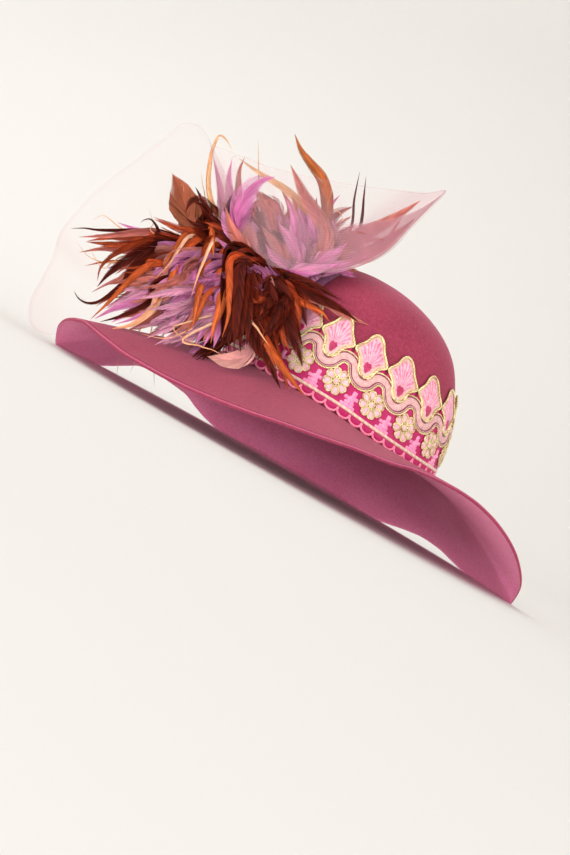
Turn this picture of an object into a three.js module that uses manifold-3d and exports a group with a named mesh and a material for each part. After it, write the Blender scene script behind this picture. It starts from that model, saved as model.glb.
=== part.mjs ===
// A feather hat: felt crown and brim, an embroidered trim, a spray of long feathers and two loops of net.
// Millimetres, +Z up, the wearer's front towards -Y and the wearer's left towards +X. The hat rests on its brim.
import * as THREE from "three";
import { mergeVertices } from "three/addons/utils/BufferGeometryUtils.js";
import Module from "manifold-3d";

const wasm = await Module();
wasm.setup();

const gap = 0.3; // between two pieces that touch
const feltThickness = 2.8;

// The crown's foot is an oval, level with the eyes of the wearer; the top stands `crownTop` over the floor.
const crownHalfLength = 95.5;
const crownHalfWidth = 79.5;
const crownTop = 171;

// The brim's plan: its two tips lie towards the wearer's left, where the brim is narrower.
const tipOffset = 25;
const frontReach = 216.6;
const backReach = 196.5;
const leftReach = 168;
const rightReach = 197;
const leftFullness = 2.15;
const rightFullness = 2.05;
const footHeight = 62; // the crown's foot over the floor, at the front

// The trim: one embroidered repeat, laid round the crown's foot.
const repeats = 17;
const trimThickness = 1.6;
const scallopDepth = 7; // below the braid line
const fanHeight = 60; // the fans' peaks over the braid line
const fanShoulder = 43;
const fanNotch = 37;

// The feathers' bound foot, and the reach that the feathers' rows are shares of.
const knotFrom = 354; // degrees from the front
const knotTo = 404;
const knotThickness = 19;
const sprayReach = 200;
const bunchRadius = 9; // each bunch of quills, bound into a ball
const quillThickness = 1.1;
const netThickness = 0.6;
const netSwell = 9; // the nets belly out to the far side
const netFold = 2.2;

// Edge of the brim: its height over the floor at each direction (degrees from the front, over the left), as a share
// of footHeight, and how the brim falls to it (1 is straight, more is a rounded droop). Below 0 it lies flattened.
const brimEdge = [
  // direction, height, droop
  [0, -0.006, 1.5],
  [4.5, 0.097, 1.4],
  [7, 0.155, 1.35],
  [10, 0.213, 1.27],
  [14, 0.287, 1.2],
  [18, 0.352, 1.15],
  [22, 0.395, 1.1],
  [26, 0.423, 1.08],
  [30, 0.403, 1.08],
  [35, 0.371, 1.1],
  [42, 0.339, 1.12],
  [50, 0.344, 1.12],
  [57, 0.368, 1.12],
  [64, 0.411, 1.12],
  [72, 0.473, 1.12],
  [80, 0.548, 1.12],
  [90, 0.631, 1.12],
  [100, 0.719, 1.1],
  [108, 0.771, 1.1],
  [114, 0.839, 1.1],
  [119, 0.868, 1.1],
  [125, 0.879, 1.1],
  [130, 0.865, 1.12],
  [136, 0.81, 1.2],
  [142, 0.718, 1.3],
  [149, 0.577, 1.4],
  [155, 0.429, 1.45],
  [160, 0.311, 1.5],
  [165, 0.198, 1.5],
  [168, 0.105, 1.55],
  [171, 0, 1.55],
  [176, -0.052, 1.6],
  [187, -0.087, 1.6],
  [196, -0.094, 1.6],
  [203, -0.063, 1.6],
  [210.5, -0.005, 1.6],
  [217, 0.045, 1.5],
  [223, 0.094, 1.5],
  [229, 0.11, 1.45],
  [235, 0.077, 1.4],
  [240, 0.029, 1.4],
  [247, -0.04, 1.4],
  [257, -0.089, 1.4],
  [281, -0.089, 1.4],
  [291, -0.024, 1.4],
  [297, 0.048, 1.4],
  [301, 0.124, 1.4],
  [305, 0.21, 1.4],
  [310, 0.244, 1.4],
  [316, 0.268, 1.4],
  [321, 0.247, 1.4],
  [325, 0.166, 1.4],
  [330, 0.061, 1.45],
  [335, -0.024, 1.5],
  [343, -0.103, 1.5],
  [351, -0.065, 1.5],
];

// Foot of the crown: its height at each direction, as a share of footHeight.
const crownFoot = [
  // direction, height
  [0, 0.985],
  [30, 1.0],
  [60, 1.01],
  [90, 0.99],
  [112, 0.945],
  [135, 0.905],
  [160, 0.88],
  [180, 0.87],
  [200, 0.88],
  [225, 0.905],
  [248, 0.945],
  [270, 0.99],
  [300, 1.01],
  [330, 1.0],
];

// Side of the crown: its half size as a share of the foot's, and its lean to the front as a share of the half length,
// at each share of the way from the foot to the top.
const crownSide = [
  // rise, half, lean
  [0, 1, 0],
  [0.1, 0.994, 0],
  [0.21, 0.979, 0],
  [0.3, 0.96, 0.002],
  [0.43, 0.917, 0.008],
  [0.54, 0.874, 0.018],
  [0.64, 0.822, 0.03],
  [0.735, 0.752, 0.04],
  [0.81, 0.67, 0.052],
  [0.88, 0.558, 0.07],
  [0.935, 0.425, 0.09],
  [0.973, 0.285, 0.108],
  [0.994, 0.14, 0.122],
  [1, 0, 0.125],
];

// One repeat of the trim: how high the fan stands between notch (0), shoulder (1) and peak (2), and the scallop under
// it, at each share of the pitch.
const trimRepeat = [
  // along, fan, scallop
  [-0.5, 0, 0],
  [-0.44, 0.2, 0.75],
  [-0.41, 1, 0.9],
  [-0.333, 1.34, 1],
  [-0.167, 1.6, 0],
  [0, 2, 1],
  [0.167, 1.6, 0],
  [0.333, 1.34, 1],
  [0.41, 1, 0.9],
  [0.44, 0.2, 0.75],
];

// Feathers: where each passes halfway and where it ends, as shares of sprayReach, and its width.
const feathers = {
  front: {
    root: [0.19, -0.475, 0.64],
    rows: [
      // middle x, y, z, tip x, y, z, width
      [0.25, -0.945, 0.56, 0.21, -1.21, 0.43, 7],
      [0.31, -0.9, 0.565, 0.3, -1.16, 0.405, 8],
      [0.2, -0.905, 0.525, 0.1, -1.16, 0.415, 6],
      [0.15, -0.92, 0.585, 0.05, -1.19, 0.5, 5],
      [0.275, -0.835, 0.65, 0.3, -0.98, 0.63, 7],
      [0.375, -0.875, 0.455, 0.425, -0.99, 0.285, 10],
      [0.33, -0.845, 0.44, 0.33, -1.02, 0.295, 8],
      [0.4, -0.875, 0.29, 0.44, -1.06, 0.22, 7],
      [0.29, -0.74, 0.485, 0.25, -0.915, 0.29, 9],
      [0.175, -0.84, 0.525, 0.02, -1.255, 0.35, 8],
      [0.15, -0.835, 0.47, -0.02, -1.13, 0.345, 8],
      [0.225, -0.775, 0.58, 0.15, -1.065, 0.445, 8],
    ],
  },
  top: {
    root: [0.17, -0.5, 0.735],
    rows: [
      [0.26, -0.77, 0.7, 0.275, -0.975, 0.795, 14],
      [0.3, -0.73, 0.705, 0.32, -0.87, 0.7, 10],
      [0.22, -0.695, 0.715, 0.2, -0.88, 0.805, 8],
      [0.25, -0.735, 0.765, 0.225, -0.89, 0.945, 6],
      [0.175, -0.78, 0.86, 0.13, -0.91, 1.005, 5],
      [0.225, -0.67, 0.845, 0.2, -0.635, 0.985, 13],
      [0.19, -0.7, 0.835, 0.15, -0.805, 0.97, 9],
    ],
  },
  back: {
    root: [0.15, -0.36, 0.79],
    rows: [
      [0.19, -0.555, 1.04, 0.17, -0.655, 1.175, 8],
      [0.23, -0.46, 0.965, 0.24, -0.605, 1.05, 8],
      [0.17, -0.43, 0.945, 0.15, -0.445, 1.085, 7],
      [0.2, -0.37, 0.93, 0.2, -0.36, 1.01, 6],
      [0.17, -0.305, 1.01, 0.16, -0.355, 1.175, 4],
      [0.14, -0.275, 1.025, 0.12, -0.325, 1.18, 4],
      [0.13, -0.265, 0.935, 0.11, -0.17, 1.03, 9],
      [0.15, -0.255, 0.875, 0.15, -0.1, 0.985, 8],
      [0.2, -0.28, 0.845, 0.23, -0.145, 0.9, 7],
    ],
  },
  fall: {
    root: [0.285, -0.37, 0.625],
    rows: [
      [0.43, -0.6, 0.54, 0.5, -0.605, 0.33, 9],
      [0.45, -0.54, 0.52, 0.52, -0.51, 0.325, 9],
      [0.48, -0.465, 0.45, 0.55, -0.495, 0.29, 14],
      [0.44, -0.395, 0.48, 0.52, -0.335, 0.3, 10],
      [0.42, -0.335, 0.47, 0.56, -0.18, 0.31, 10],
      [0.4, -0.275, 0.47, 0.53, -0.11, 0.33, 9],
      [0.385, -0.305, 0.54, 0.43, -0.18, 0.4, 8],
      [0.37, -0.25, 0.645, 0.345, -0.04, 0.655, 7],
      [0.44, -0.65, 0.4, 0.48, -0.66, 0.29, 10],
      [0.46, -0.585, 0.4, 0.53, -0.765, 0.24, 8],
      [0.4, -0.59, 0.46, 0.48, -0.65, 0.22, 10],
      [0.4, -0.31, 0.61, 0.4, -0.13, 0.52, 8],
    ],
  },
};

// The nets: the free edge of each, as it runs from one side of the gathered foot round to the other, and the foot.
const nets = {
  front: {
    foot: [
      [0.14, -0.46, 0.6],
      [0.1, -0.47, 0.7],
    ],
    edge: [
      // x, y, z
      [0.04, -1.085, 0.036],
      [-0.03, -1.13, 0.016],
      [-0.07, -1.184, 0.012],
      [-0.1, -1.231, 0.03],
      [-0.12, -1.264, 0.102],
      [-0.125, -1.268, 0.199],
      [-0.125, -1.275, 0.302],
      [-0.12, -1.297, 0.397],
      [-0.11, -1.279, 0.499],
      [-0.09, -1.242, 0.642],
      [-0.07, -1.18, 0.771],
      [-0.04, -1.113, 0.915],
      [-0.01, -1.076, 0.999],
      [0.015, -1.023, 1.029],
      [0.04, -0.923, 0.983],
      [0.06, -0.793, 0.827],
    ],
  },
  back: {
    foot: [
      [0.08, -0.42, 0.72],
      [0.07, -0.33, 0.765],
    ],
    edge: [
      [0.07, -0.731, 0.862],
      [0.065, -0.825, 0.971],
      [0.06, -0.792, 1.009],
      [0.04, -0.68, 1.025],
      [0.02, -0.544, 1.065],
      [0, -0.394, 1.121],
      [-0.015, -0.227, 1.19],
      [-0.02, -0.099, 1.245],
      [-0.02, -0.032, 1.296],
      [-0.01, -0.047, 1.209],
      [0, -0.075, 1.097],
      [0.015, -0.099, 0.986],
      [0.03, -0.144, 0.9],
      [0.045, -0.195, 0.872],
    ],
  },
};

/** The columns of a table at `at`, eased between its rows; `turn` is the length of a table that closes on itself. */
function read(table, at, turn = 0) {
  const n = table.length;
  const row = (i) => {
    const lap = turn ? Math.floor(i / n) : 0;
    const r = table[turn ? i - lap * n : Math.min(Math.max(i, 0), n - 1)];
    return [r[0] + lap * turn, ...r.slice(1)];
  };
  if (turn) at -= turn * Math.floor((at - table[0][0]) / turn);
  let i = 0;
  while (i < n - (turn ? 1 : 2) && row(i + 1)[0] <= at) i++;
  const rows = [row(i - 1), row(i), row(i + 1), row(i + 2)];
  const span = rows[2][0] - rows[1][0];
  const k = Math.min(Math.max((at - rows[1][0]) / span, 0), 1);
  const rate = (p, q, j) => (q[j] - p[j]) / (q[0] - p[0] || span);
  return rows[1].slice(1).map((v, c) => {
    const j = c + 1;
    const [a, b, d] = [rate(rows[0], rows[1], j), rate(rows[1], rows[2], j), rate(rows[2], rows[3], j)];
    const start = a * b > 0 ? (2 * a * b) / (a + b) : 0;
    const end = b * d > 0 ? (2 * b * d) / (b + d) : 0;
    const w = rows[2][j];
    return (
      v +
      (w - v) * k * k * (3 - 2 * k) +
      span * (start * k * (1 - k) * (1 - k) - end * k * k * (1 - k))
    );
  });
}

const toRadians = Math.PI / 180;

/** Distance from the crown's middle to an oval with these half sizes, in a direction. */
function oval(direction, halfWidth, halfLength) {
  const a = direction * toRadians;
  return 1 / Math.hypot(Math.sin(a) / halfWidth, Math.cos(a) / halfLength);
}

const footAt = (direction) => footHeight * read(crownFoot, direction, 360)[0];

/** Distance from the crown's middle to the brim's edge: where the ray meets the plan's four quarter ovals. */
function reach(direction) {
  const a = direction * toRadians;
  let near = 0;
  let far = 400;
  for (let i = 0; i < 40; i++) {
    const r = (near + far) / 2;
    const x = r * Math.sin(a) - tipOffset;
    const y = r * Math.cos(a);
    const full = x > 0 ? leftFullness : rightFullness;
    const side = x > 0 ? leftReach - tipOffset : rightReach + tipOffset;
    const inside = (Math.abs(x) / side) ** full + (Math.abs(y) / (y > 0 ? frontReach : backReach)) ** full;
    if (inside < 1) near = r;
    else far = r;
  }
  return near;
}

/** Height of the brim's underside at a direction and a share of the way from the crown's foot to the edge. */
function brimUnder(direction, out) {
  const [edge, droop] = read(brimEdge, direction, 360);
  const top = footAt(direction) - feltThickness - gap;
  return Math.max(top + (edge * footHeight - top) * out ** droop, 0);
}

/** A point of the crown's outer wall, at a direction and a share of its rise, `off` millimetres out from the wall. */
function crownPoint(direction, rise, off = 0) {
  const at = (t) => {
    const [half, lean] = read(crownSide, t);
    return [half * oval(direction, crownHalfWidth, crownHalfLength), lean * crownHalfLength];
  };
  const foot = footAt(direction);
  const height = crownTop - foot;
  const step = 0.01;
  const [low, high] = [Math.max(rise - step, 0), Math.min(rise + step, 1)];
  const run = at(high)[0] - at(low)[0];
  const climb = (high - low) * height;
  const length = Math.hypot(run, climb);
  const [r, lean] = at(rise);
  const out = rise >= 1 ? 0 : r + (off * climb) / length;
  const z = foot + rise * height - (rise >= 1 ? -off : (off * run) / length);
  const a = direction * toRadians;
  return [Math.max(out, 0) * Math.sin(a), -Math.max(out, 0) * Math.cos(a) - lean, z];
}

/** The share of the crown's rise that lies `h` millimetres up along its wall from the foot. */
function riseAt(direction, h) {
  let rise = 0;
  let climbed = 0;
  let last = crownPoint(direction, 0);
  while (climbed < h) {
    rise += 0.01;
    const next = crownPoint(direction, rise);
    climbed += Math.hypot(next[0] - last[0], next[1] - last[1], next[2] - last[2]);
    last = next;
  }
  return rise - (0.01 * (climbed - h)) / 1.1;
}

/** A closed body from points and faces that may repeat a point: equal points are joined and flat faces dropped. */
function body(points, faces) {
  const loose = new THREE.BufferGeometry();
  loose.setAttribute("position", new THREE.Float32BufferAttribute(points.flat(), 3));
  loose.setIndex(faces.flat());
  const joined = mergeVertices(loose, 1e-3);
  const index = joined.index.array;
  const kept = [];
  for (let i = 0; i < index.length; i += 3) {
    const [a, b, c] = [index[i], index[i + 1], index[i + 2]];
    if (a !== b && b !== c && a !== c) kept.push(a, b, c);
  }
  joined.setIndex(kept);
  return joined;
}

/** A ring of closed sections: section i joins section i + 1, and the last one the first. */
function ring(sections) {
  const n = sections.length;
  const m = sections[0].length;
  const faces = [];
  for (let i = 0; i < n; i++)
    for (let j = 0; j < m; j++) {
      const [a, b] = [i * m + j, i * m + ((j + 1) % m)];
      const [c, d] = [((i + 1) % n) * m + j, ((i + 1) % n) * m + ((j + 1) % m)];
      faces.push([a, c, b], [b, c, d]);
    }
  return body(sections.flat(), faces);
}

/** A row of closed sections with a cap on the first and the last. */
function bar(sections) {
  const n = sections.length;
  const m = sections[0].length;
  const faces = [];
  for (let i = 0; i < n - 1; i++)
    for (let j = 0; j < m; j++) {
      const [a, b] = [i * m + j, i * m + ((j + 1) % m)];
      const [c, d] = [(i + 1) * m + j, (i + 1) * m + ((j + 1) % m)];
      faces.push([a, c, b], [b, c, d]);
    }
  for (let j = 1; j < m - 1; j++) {
    faces.push([0, j, j + 1]);
    faces.push([(n - 1) * m, (n - 1) * m + j + 1, (n - 1) * m + j]);
  }
  return body(sections.flat(), faces);
}

function manifoldOf(geometry) {
  const bare = new THREE.BufferGeometry()
    .setAttribute("position", geometry.getAttribute("position"))
    .setIndex(geometry.index);
  const joined = mergeVertices(bare, 1e-4);
  return new wasm.Manifold(
    new wasm.Mesh({
      numProp: 3,
      vertProperties: joined.attributes.position.array,
      triVerts: new Uint32Array(joined.index.array),
    }),
  );
}

function geometryOf(solid) {
  const mesh = solid.getMesh();
  const points = [];
  for (let i = 0; i < mesh.numVert; i++)
    points.push(...mesh.vertProperties.subarray(i * mesh.numProp, i * mesh.numProp + 3));
  return new THREE.BufferGeometry()
    .setAttribute("position", new THREE.Float32BufferAttribute(points, 3))
    .setIndex(new THREE.BufferAttribute(mesh.triVerts, 1));
}

const largest = (solid) => solid.decompose().sort((a, b) => b.volume() - a.volume())[0];

// The crown: one felt shell, open below.
const crownRows = [0, 0.12, 0.26, 0.42, 0.56, 0.68, 0.78, 0.86, 0.925, 0.967, 0.99, 1];
const crownDirections = 54;
const crown = ring(
  Array.from({ length: crownDirections }, (_, i) => {
    const direction = (i * 360) / crownDirections;
    const outer = crownRows.map((t) => crownPoint(direction, t));
    const inner = crownRows.map((t) => crownPoint(direction, t, -feltThickness));
    inner[0][2] = outer[0][2];
    return [...outer, ...inner.filter((_, k) => k % 2 === 1 || k === 0).reverse()];
  }),
);

// The brim: one felt sheet from under the crown's wall to the raw edge.
const brimRows = [-0.03, 0.14, 0.33, 0.53, 0.72, 0.87, 0.95, 1];
const brimDirections = 80;
const brim = ring(
  Array.from({ length: brimDirections }, (_, i) => {
    const direction = (i * 360) / brimDirections;
    const a = direction * toRadians;
    const inner = oval(direction, crownHalfWidth, crownHalfLength);
    const outer = reach(direction);
    const point = (out, up) => {
      const r = inner + (outer - inner) * out;
      return [r * Math.sin(a), -r * Math.cos(a), brimUnder(direction, Math.max(out, 0)) + up];
    };
    return [
      ...brimRows.map((out) => point(out, 0)),
      ...[...brimRows].reverse().map((out) => point(out, feltThickness)),
    ];
  }),
);

// The trim: a loop that follows the crown's wall.
const footLaps = Array.from({ length: 721 }, (_, i) => {
  const r = oval(i / 2, crownHalfWidth, crownHalfLength);
  return [r * Math.sin((i / 2) * toRadians), -r * Math.cos((i / 2) * toRadians)];
});
const footLength = [0];
for (let i = 1; i < footLaps.length; i++)
  footLength.push(
    footLength[i - 1] + Math.hypot(footLaps[i][0] - footLaps[i - 1][0], footLaps[i][1] - footLaps[i - 1][1]),
  );
const pitch = footLength[720] / repeats;
const directionAt = (along) => {
  let i = 0;
  while (i < 719 && footLength[i + 1] < along) i++;
  return (i + (along - footLength[i]) / (footLength[i + 1] - footLength[i])) / 2;
};
const trimSections = [];
for (let n = 0; n < repeats; n++)
  for (const [along, fan, scallop] of trimRepeat) {
    const direction = directionAt((n + 0.5 + along) * pitch);
    const low = scallopDepth * 0.42 * (1 - scallop) + 1;
    const high =
      scallopDepth + (fan < 1 ? fanNotch + (fanShoulder - fanNotch) * fan : fanShoulder + (fanHeight - fanShoulder) * (fan - 1));
    const heights = [0, 0.36, 0.7, 1].map((k) => low + (high - low) * k);
    trimSections.push([
      ...heights.map((h) => crownPoint(direction, riseAt(direction, h), 2 * gap + trimThickness)),
      ...[1, 0.7, 0.36, 0].map((k) => crownPoint(direction, riseAt(direction, low + (high - low) * k), 2 * gap)),
    ]);
  }
const trim = ring(trimSections);

// The feathers' bound foot: a pad that follows the crown's front left.
const knotPad = (swell) =>
  bar(
    Array.from({ length: 9 }, (_, i) => {
      const u = i / 8;
      const rises = [0, 0.17, 0.34, 0.5, 0.66, 0.83, 1];
      const face = (v) => {
        const bulge = Math.sqrt(Math.max(1 - (2 * u - 1) ** 2, 0)) * Math.sqrt(Math.max(1 - (2 * v - 1) ** 2, 0));
        return crownPoint(
          knotFrom + (knotTo - knotFrom) * u,
          0.48 + 0.36 * v,
          gap * 3 + trimThickness + 0.9 + knotThickness * bulge + swell,
        );
      };
      const back = (v) =>
        crownPoint(knotFrom + (knotTo - knotFrom) * u, 0.48 + 0.36 * v, gap * 3 + trimThickness - swell);
      return [...rises.map(face), ...rises.reverse().map(back)];
    }),
  );

const share = ([x, y, z]) => new THREE.Vector3(x, y, z).multiplyScalar(sprayReach);

/** One feather: a flat strip that narrows to its tip, along a curve from the root through `middle` to `tip`. */
function feather(root, middle, tip, width, turn) {
  const bend = middle.clone().multiplyScalar(2).sub(root.clone().add(tip).multiplyScalar(0.5));
  const curve = new THREE.QuadraticBezierCurve3(root, bend, tip);
  const widths = [0.4, 0.9, 1, 0.6, 0.12];
  return bar(
    widths.map((w, i) => {
      const k = i / (widths.length - 1);
      const at = curve.getPoint(k);
      const along = curve.getTangent(k);
      const flat = new THREE.Vector3(Math.sin(turn), 0, Math.cos(turn)).cross(along).normalize();
      const thick = along.clone().cross(flat).normalize();
      const half = (width * w) / 2;
      const quill = (quillThickness * (1.3 - 0.7 * k)) / 2;
      return [
        at.clone().addScaledVector(flat, half),
        at.clone().addScaledVector(thick, -quill),
        at.clone().addScaledVector(flat, -half),
        at.clone().addScaledVector(thick, quill),
      ].map((p) => p.toArray());
    }),
  );
}

const padRoom = manifoldOf(knotPad(gap));
const plumes = {};
for (const [name, { root, rows }] of Object.entries(feathers)) {
  const centre = share(root);
  const ball = new THREE.SphereGeometry(bunchRadius, 10, 6).deleteAttribute("normal").deleteAttribute("uv");
  ball.scale(1, 1, 1.15).translate(...centre.toArray());
  let plume = manifoldOf(ball);
  rows.forEach(([mx, my, mz, tx, ty, tz, width], i) => {
    const start = centre.clone().add(new THREE.Vector3(Math.sin(i * 2.4), Math.cos(i * 3.1), Math.sin(i * 1.7)).multiplyScalar(3));
    plume = plume.add(manifoldOf(feather(start, share([mx, my, mz]), share([tx, ty, tz]), width, 1.2 + 0.5 * Math.sin(i * 2.1))));
  });
  plumes[name] = largest(plume.subtract(padRoom).asOriginal().simplify(0.05));
}

/** A net: a thin sheet that fans from its gathered foot to its free edge, with shallow folds. */
function net({ foot, edge }, folds) {
  const from = share(foot[0]);
  const to = share(foot[1]);
  const free = new THREE.CatmullRomCurve3(edge.map(share));
  const across = 18;
  const along = 6;
  const points = Array.from({ length: across + 1 }, (_, i) =>
    Array.from({ length: along + 1 }, (_, j) => {
      const v = i / across;
      const u = j / along;
      const p = from.clone().lerp(to, v).lerp(free.getPoint(v), u);
      p.x += netFold * Math.sin(v * folds * 2 * Math.PI) * u * (1.15 - u) - netSwell * Math.sin(Math.PI * u);
      return p;
    }),
  );
  return bar(
    points.map((row) => [
      ...row.map((p) => [p.x + netThickness / 2, p.y, p.z]),
      ...[...row].reverse().map((p) => [p.x - netThickness / 2, p.y, p.z]),
    ]),
  );
}

const hat = new THREE.Group();
const add = (name, geometry) => {
  const piece = new THREE.Mesh(geometry);
  piece.name = name;
  hat.add(piece);
};
add("crown", crown);
add("brim", brim);
add("trim", trim);
add("knot", knotPad(0));
for (const [name, solid] of Object.entries(plumes)) add("plume_" + name, geometryOf(solid));
for (const [name, folds] of [["front", 5], ["back", 6]])
  add("net_" + name, geometryOf(largest(manifoldOf(net(nets[name], folds)).subtract(padRoom))));

// The origin lies on the floor, under the middle of the hat's box.
const box = new THREE.Box3().setFromObject(hat);
const middle = box.getCenter(new THREE.Vector3());
for (const piece of hat.children) piece.geometry.translate(-middle.x, -middle.y, -box.min.z);

export default hat;
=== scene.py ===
"""A feather hat of rose felt with an embroidered trim, a spray of cock feathers and two loops of net."""

import bpy
import numpy as np
from mathutils import Matrix, Vector


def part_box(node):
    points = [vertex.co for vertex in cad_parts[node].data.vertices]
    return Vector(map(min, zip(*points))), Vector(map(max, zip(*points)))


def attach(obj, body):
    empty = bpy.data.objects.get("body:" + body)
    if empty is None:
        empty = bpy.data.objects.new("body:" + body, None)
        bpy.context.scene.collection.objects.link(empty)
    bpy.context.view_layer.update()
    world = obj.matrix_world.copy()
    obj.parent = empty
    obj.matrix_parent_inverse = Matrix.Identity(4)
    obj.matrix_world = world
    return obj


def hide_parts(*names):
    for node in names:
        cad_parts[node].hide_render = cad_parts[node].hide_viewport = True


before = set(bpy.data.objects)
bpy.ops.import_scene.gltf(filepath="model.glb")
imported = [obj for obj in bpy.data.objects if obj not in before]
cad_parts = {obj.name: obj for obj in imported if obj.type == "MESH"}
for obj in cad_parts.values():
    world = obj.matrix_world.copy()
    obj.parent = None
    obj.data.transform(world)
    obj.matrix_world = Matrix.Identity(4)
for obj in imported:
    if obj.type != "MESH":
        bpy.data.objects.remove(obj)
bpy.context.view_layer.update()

# The place: the hat rests on its brim on a pale floor that sweeps up behind it, in soft studio light.
# Every table below is in millimetres from the middle of the crown's foot, which lies over `foot_middle`.
crown_low, crown_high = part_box("crown")
foot_middle = np.array([(crown_low[0] + crown_high[0]) / 2, (crown_low[1] + crown_high[1]) / 2, 0.0])
scene = bpy.context.scene


def paint(red, green, blue):
    """A colour read off a screen, from 0 to 255, as the linear values that a shader takes."""
    c = np.array([red, green, blue]) / 255
    return tuple(np.where(c <= 0.04045, c / 12.92, ((c + 0.055) / 1.055) ** 2.4))


def new_mesh(name, points, faces):
    """An object at the origin from points in millimetres round the crown's foot, and faces of four corners."""
    mesh = bpy.data.meshes.new(name)
    mesh.from_pydata((np.asarray(points) / 1000 + foot_middle).tolist(), [], np.asarray(faces).tolist())
    mesh.polygons.foreach_set("use_smooth", np.ones(len(mesh.polygons), bool))
    mesh.update()
    piece = bpy.data.objects.new(name, mesh)
    scene.collection.objects.link(piece)
    return piece


def grid_faces(rows, columns, round_rows=False, round_columns=False):
    """The faces of a grid of points, row by row; a round one also joins its last row or column to its first."""
    i = np.arange(rows if round_rows else rows - 1)[:, None]
    j = np.arange(columns if round_columns else columns - 1)[None, :]
    i2 = (i + 1) % rows
    j2 = (j + 1) % columns
    corners = [i * columns + j, i2 * columns + j, i2 * columns + j2, i * columns + j2]
    return np.stack(corners, -1).reshape(-1, 4)


# The camera: level with the brim, on the wearer's left, looking 0.6 degrees down, and rolled as the hat is worn.
roll, fall = np.radians([29.6, 0.6])
look = np.array([-np.cos(fall), 0, -np.sin(fall)])
level = np.array([0.0, 1.0, 0.0])
upright = np.array([-np.sin(fall), 0, np.cos(fall)])
frame_right = level * np.cos(roll) + upright * np.sin(roll)
frame_up = upright * np.cos(roll) - level * np.sin(roll)
eye = foot_middle + np.array([1.5999, -0.0244, 0.04916])
camera_data = bpy.data.cameras.new("camera")
camera_data.lens = 85
camera_data.sensor_fit = "VERTICAL"
camera_data.sensor_height = 36
camera = bpy.data.objects.new("camera", camera_data)
camera.matrix_world = Matrix(np.vstack([np.stack([frame_right, frame_up, -look, eye], 1), [0, 0, 0, 1]]))
scene.collection.objects.link(camera)
scene.camera = camera


class Shade:
    """A socket of a material's nodes: sums, differences and products on it add Math nodes."""

    def __init__(self, tree, socket=None):
        self.tree = tree
        self.socket = socket

    def node(self, kind, values=(), out=0, **settings):
        """A node of this kind: its settings, then values or links for its sockets; gives one of its outputs."""
        made = self.tree.nodes.new("ShaderNode" + kind)
        for name, setting in settings.items():
            setattr(made, name, setting)
        for name, value in dict(values).items():
            if isinstance(value, Shade):
                self.tree.links.new(value.socket, made.inputs[name])
            else:
                made.inputs[name].default_value = value
        return Shade(self.tree, made.outputs[out])

    def math(self, operation, *terms):
        return self.node("Math", enumerate(terms), operation=operation)

    def wave(self):
        """Its sine, from 0 to 1."""
        return self.math("SINE", self) * 0.5 + 0.5

    def noise(self, scale, detail, **more):
        """Noise on Object coordinates."""
        place = self.node("TexCoord", out=3)
        return self.node("TexNoise", {"Vector": place, "Scale": scale, "Detail": detail, **more})

    def attribute(self, name, out=2):
        return self.node("Attribute", out=out, attribute_name=name)

    def bump(self, strength, depth=0.0004):
        return self.node("Bump", {"Height": self, "Strength": strength, "Distance": depth})

    def mixed(self, low, high):
        """The colour `low` where this is 0 and `high` where it is 1; either may be a socket."""
        ends = {k: v if isinstance(v, Shade) else (*v, 1) for k, v in ((6, low), (7, high))}
        return self.node("Mix", {0: self, **ends}, out=2, data_type="RGBA")

    def __add__(self, other):
        return self.math("ADD", self, other)

    def __sub__(self, other):
        return self.math("SUBTRACT", self, other)

    def __mul__(self, other):
        return self.math("MULTIPLY", self, other)


def finish_named(name, **settings):
    """A material with its shader's own sockets set, and a Shade to build on."""
    material = bpy.data.materials.new(name)
    material.use_nodes = True
    shader = material.node_tree.nodes["Principled BSDF"]
    for key, setting in settings.items():
        shader.inputs[key.replace("_", " ")].default_value = setting
    return material, Shade(material.node_tree)


def connect(material, **sockets):
    """Feeds the named sockets of the material's shader."""
    shader = material.node_tree.nodes["Principled BSDF"]
    for name, value in sockets.items():
        material.node_tree.links.new(value.socket, shader.inputs[name.replace("_", " ")])


# Floor and backdrop in one sweep of warm white paper: level under the hat, then a wide curve up behind it.
floor_near = 2.6
floor_far = 1.1
curve_radius = 1.6
turn = np.linspace(0, np.pi / 2, 40)
sweep_x = np.concatenate([[floor_near], -floor_far - curve_radius * np.sin(turn), [-floor_far - curve_radius]])
sweep_z = np.concatenate([[0], curve_radius * (1 - np.cos(turn)), [curve_radius + 2.5]])
sweep_y = np.linspace(-4, 4, 9)
sweep_points = np.stack(np.broadcast_arrays(sweep_x[:, None], sweep_y[None, :], sweep_z[:, None]), -1).reshape(-1, 3)
sweep = new_mesh("sweep", sweep_points * 1000, grid_faces(len(sweep_x), len(sweep_y)))
paper, shade = finish_named("warm_white_paper", Roughness=0.95, Specular_IOR_Level=0.1)
# painted shade: the paper's colour darkens towards +y, over a faint mottle
painted_shade_sideways = shade.node("SeparateXYZ", {"Vector": shade.node("TexCoord", out=3)}, out=1)
mottle_and_painted_shade = shade.noise(1.3, 2) * 0.3 + painted_shade_sideways * 0.35 + 0.3
connect(paper, Base_Color=mottle_and_painted_shade.mixed(paint(237, 235, 231), paint(222, 218, 213)))
sweep.data.materials.append(paper)

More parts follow.
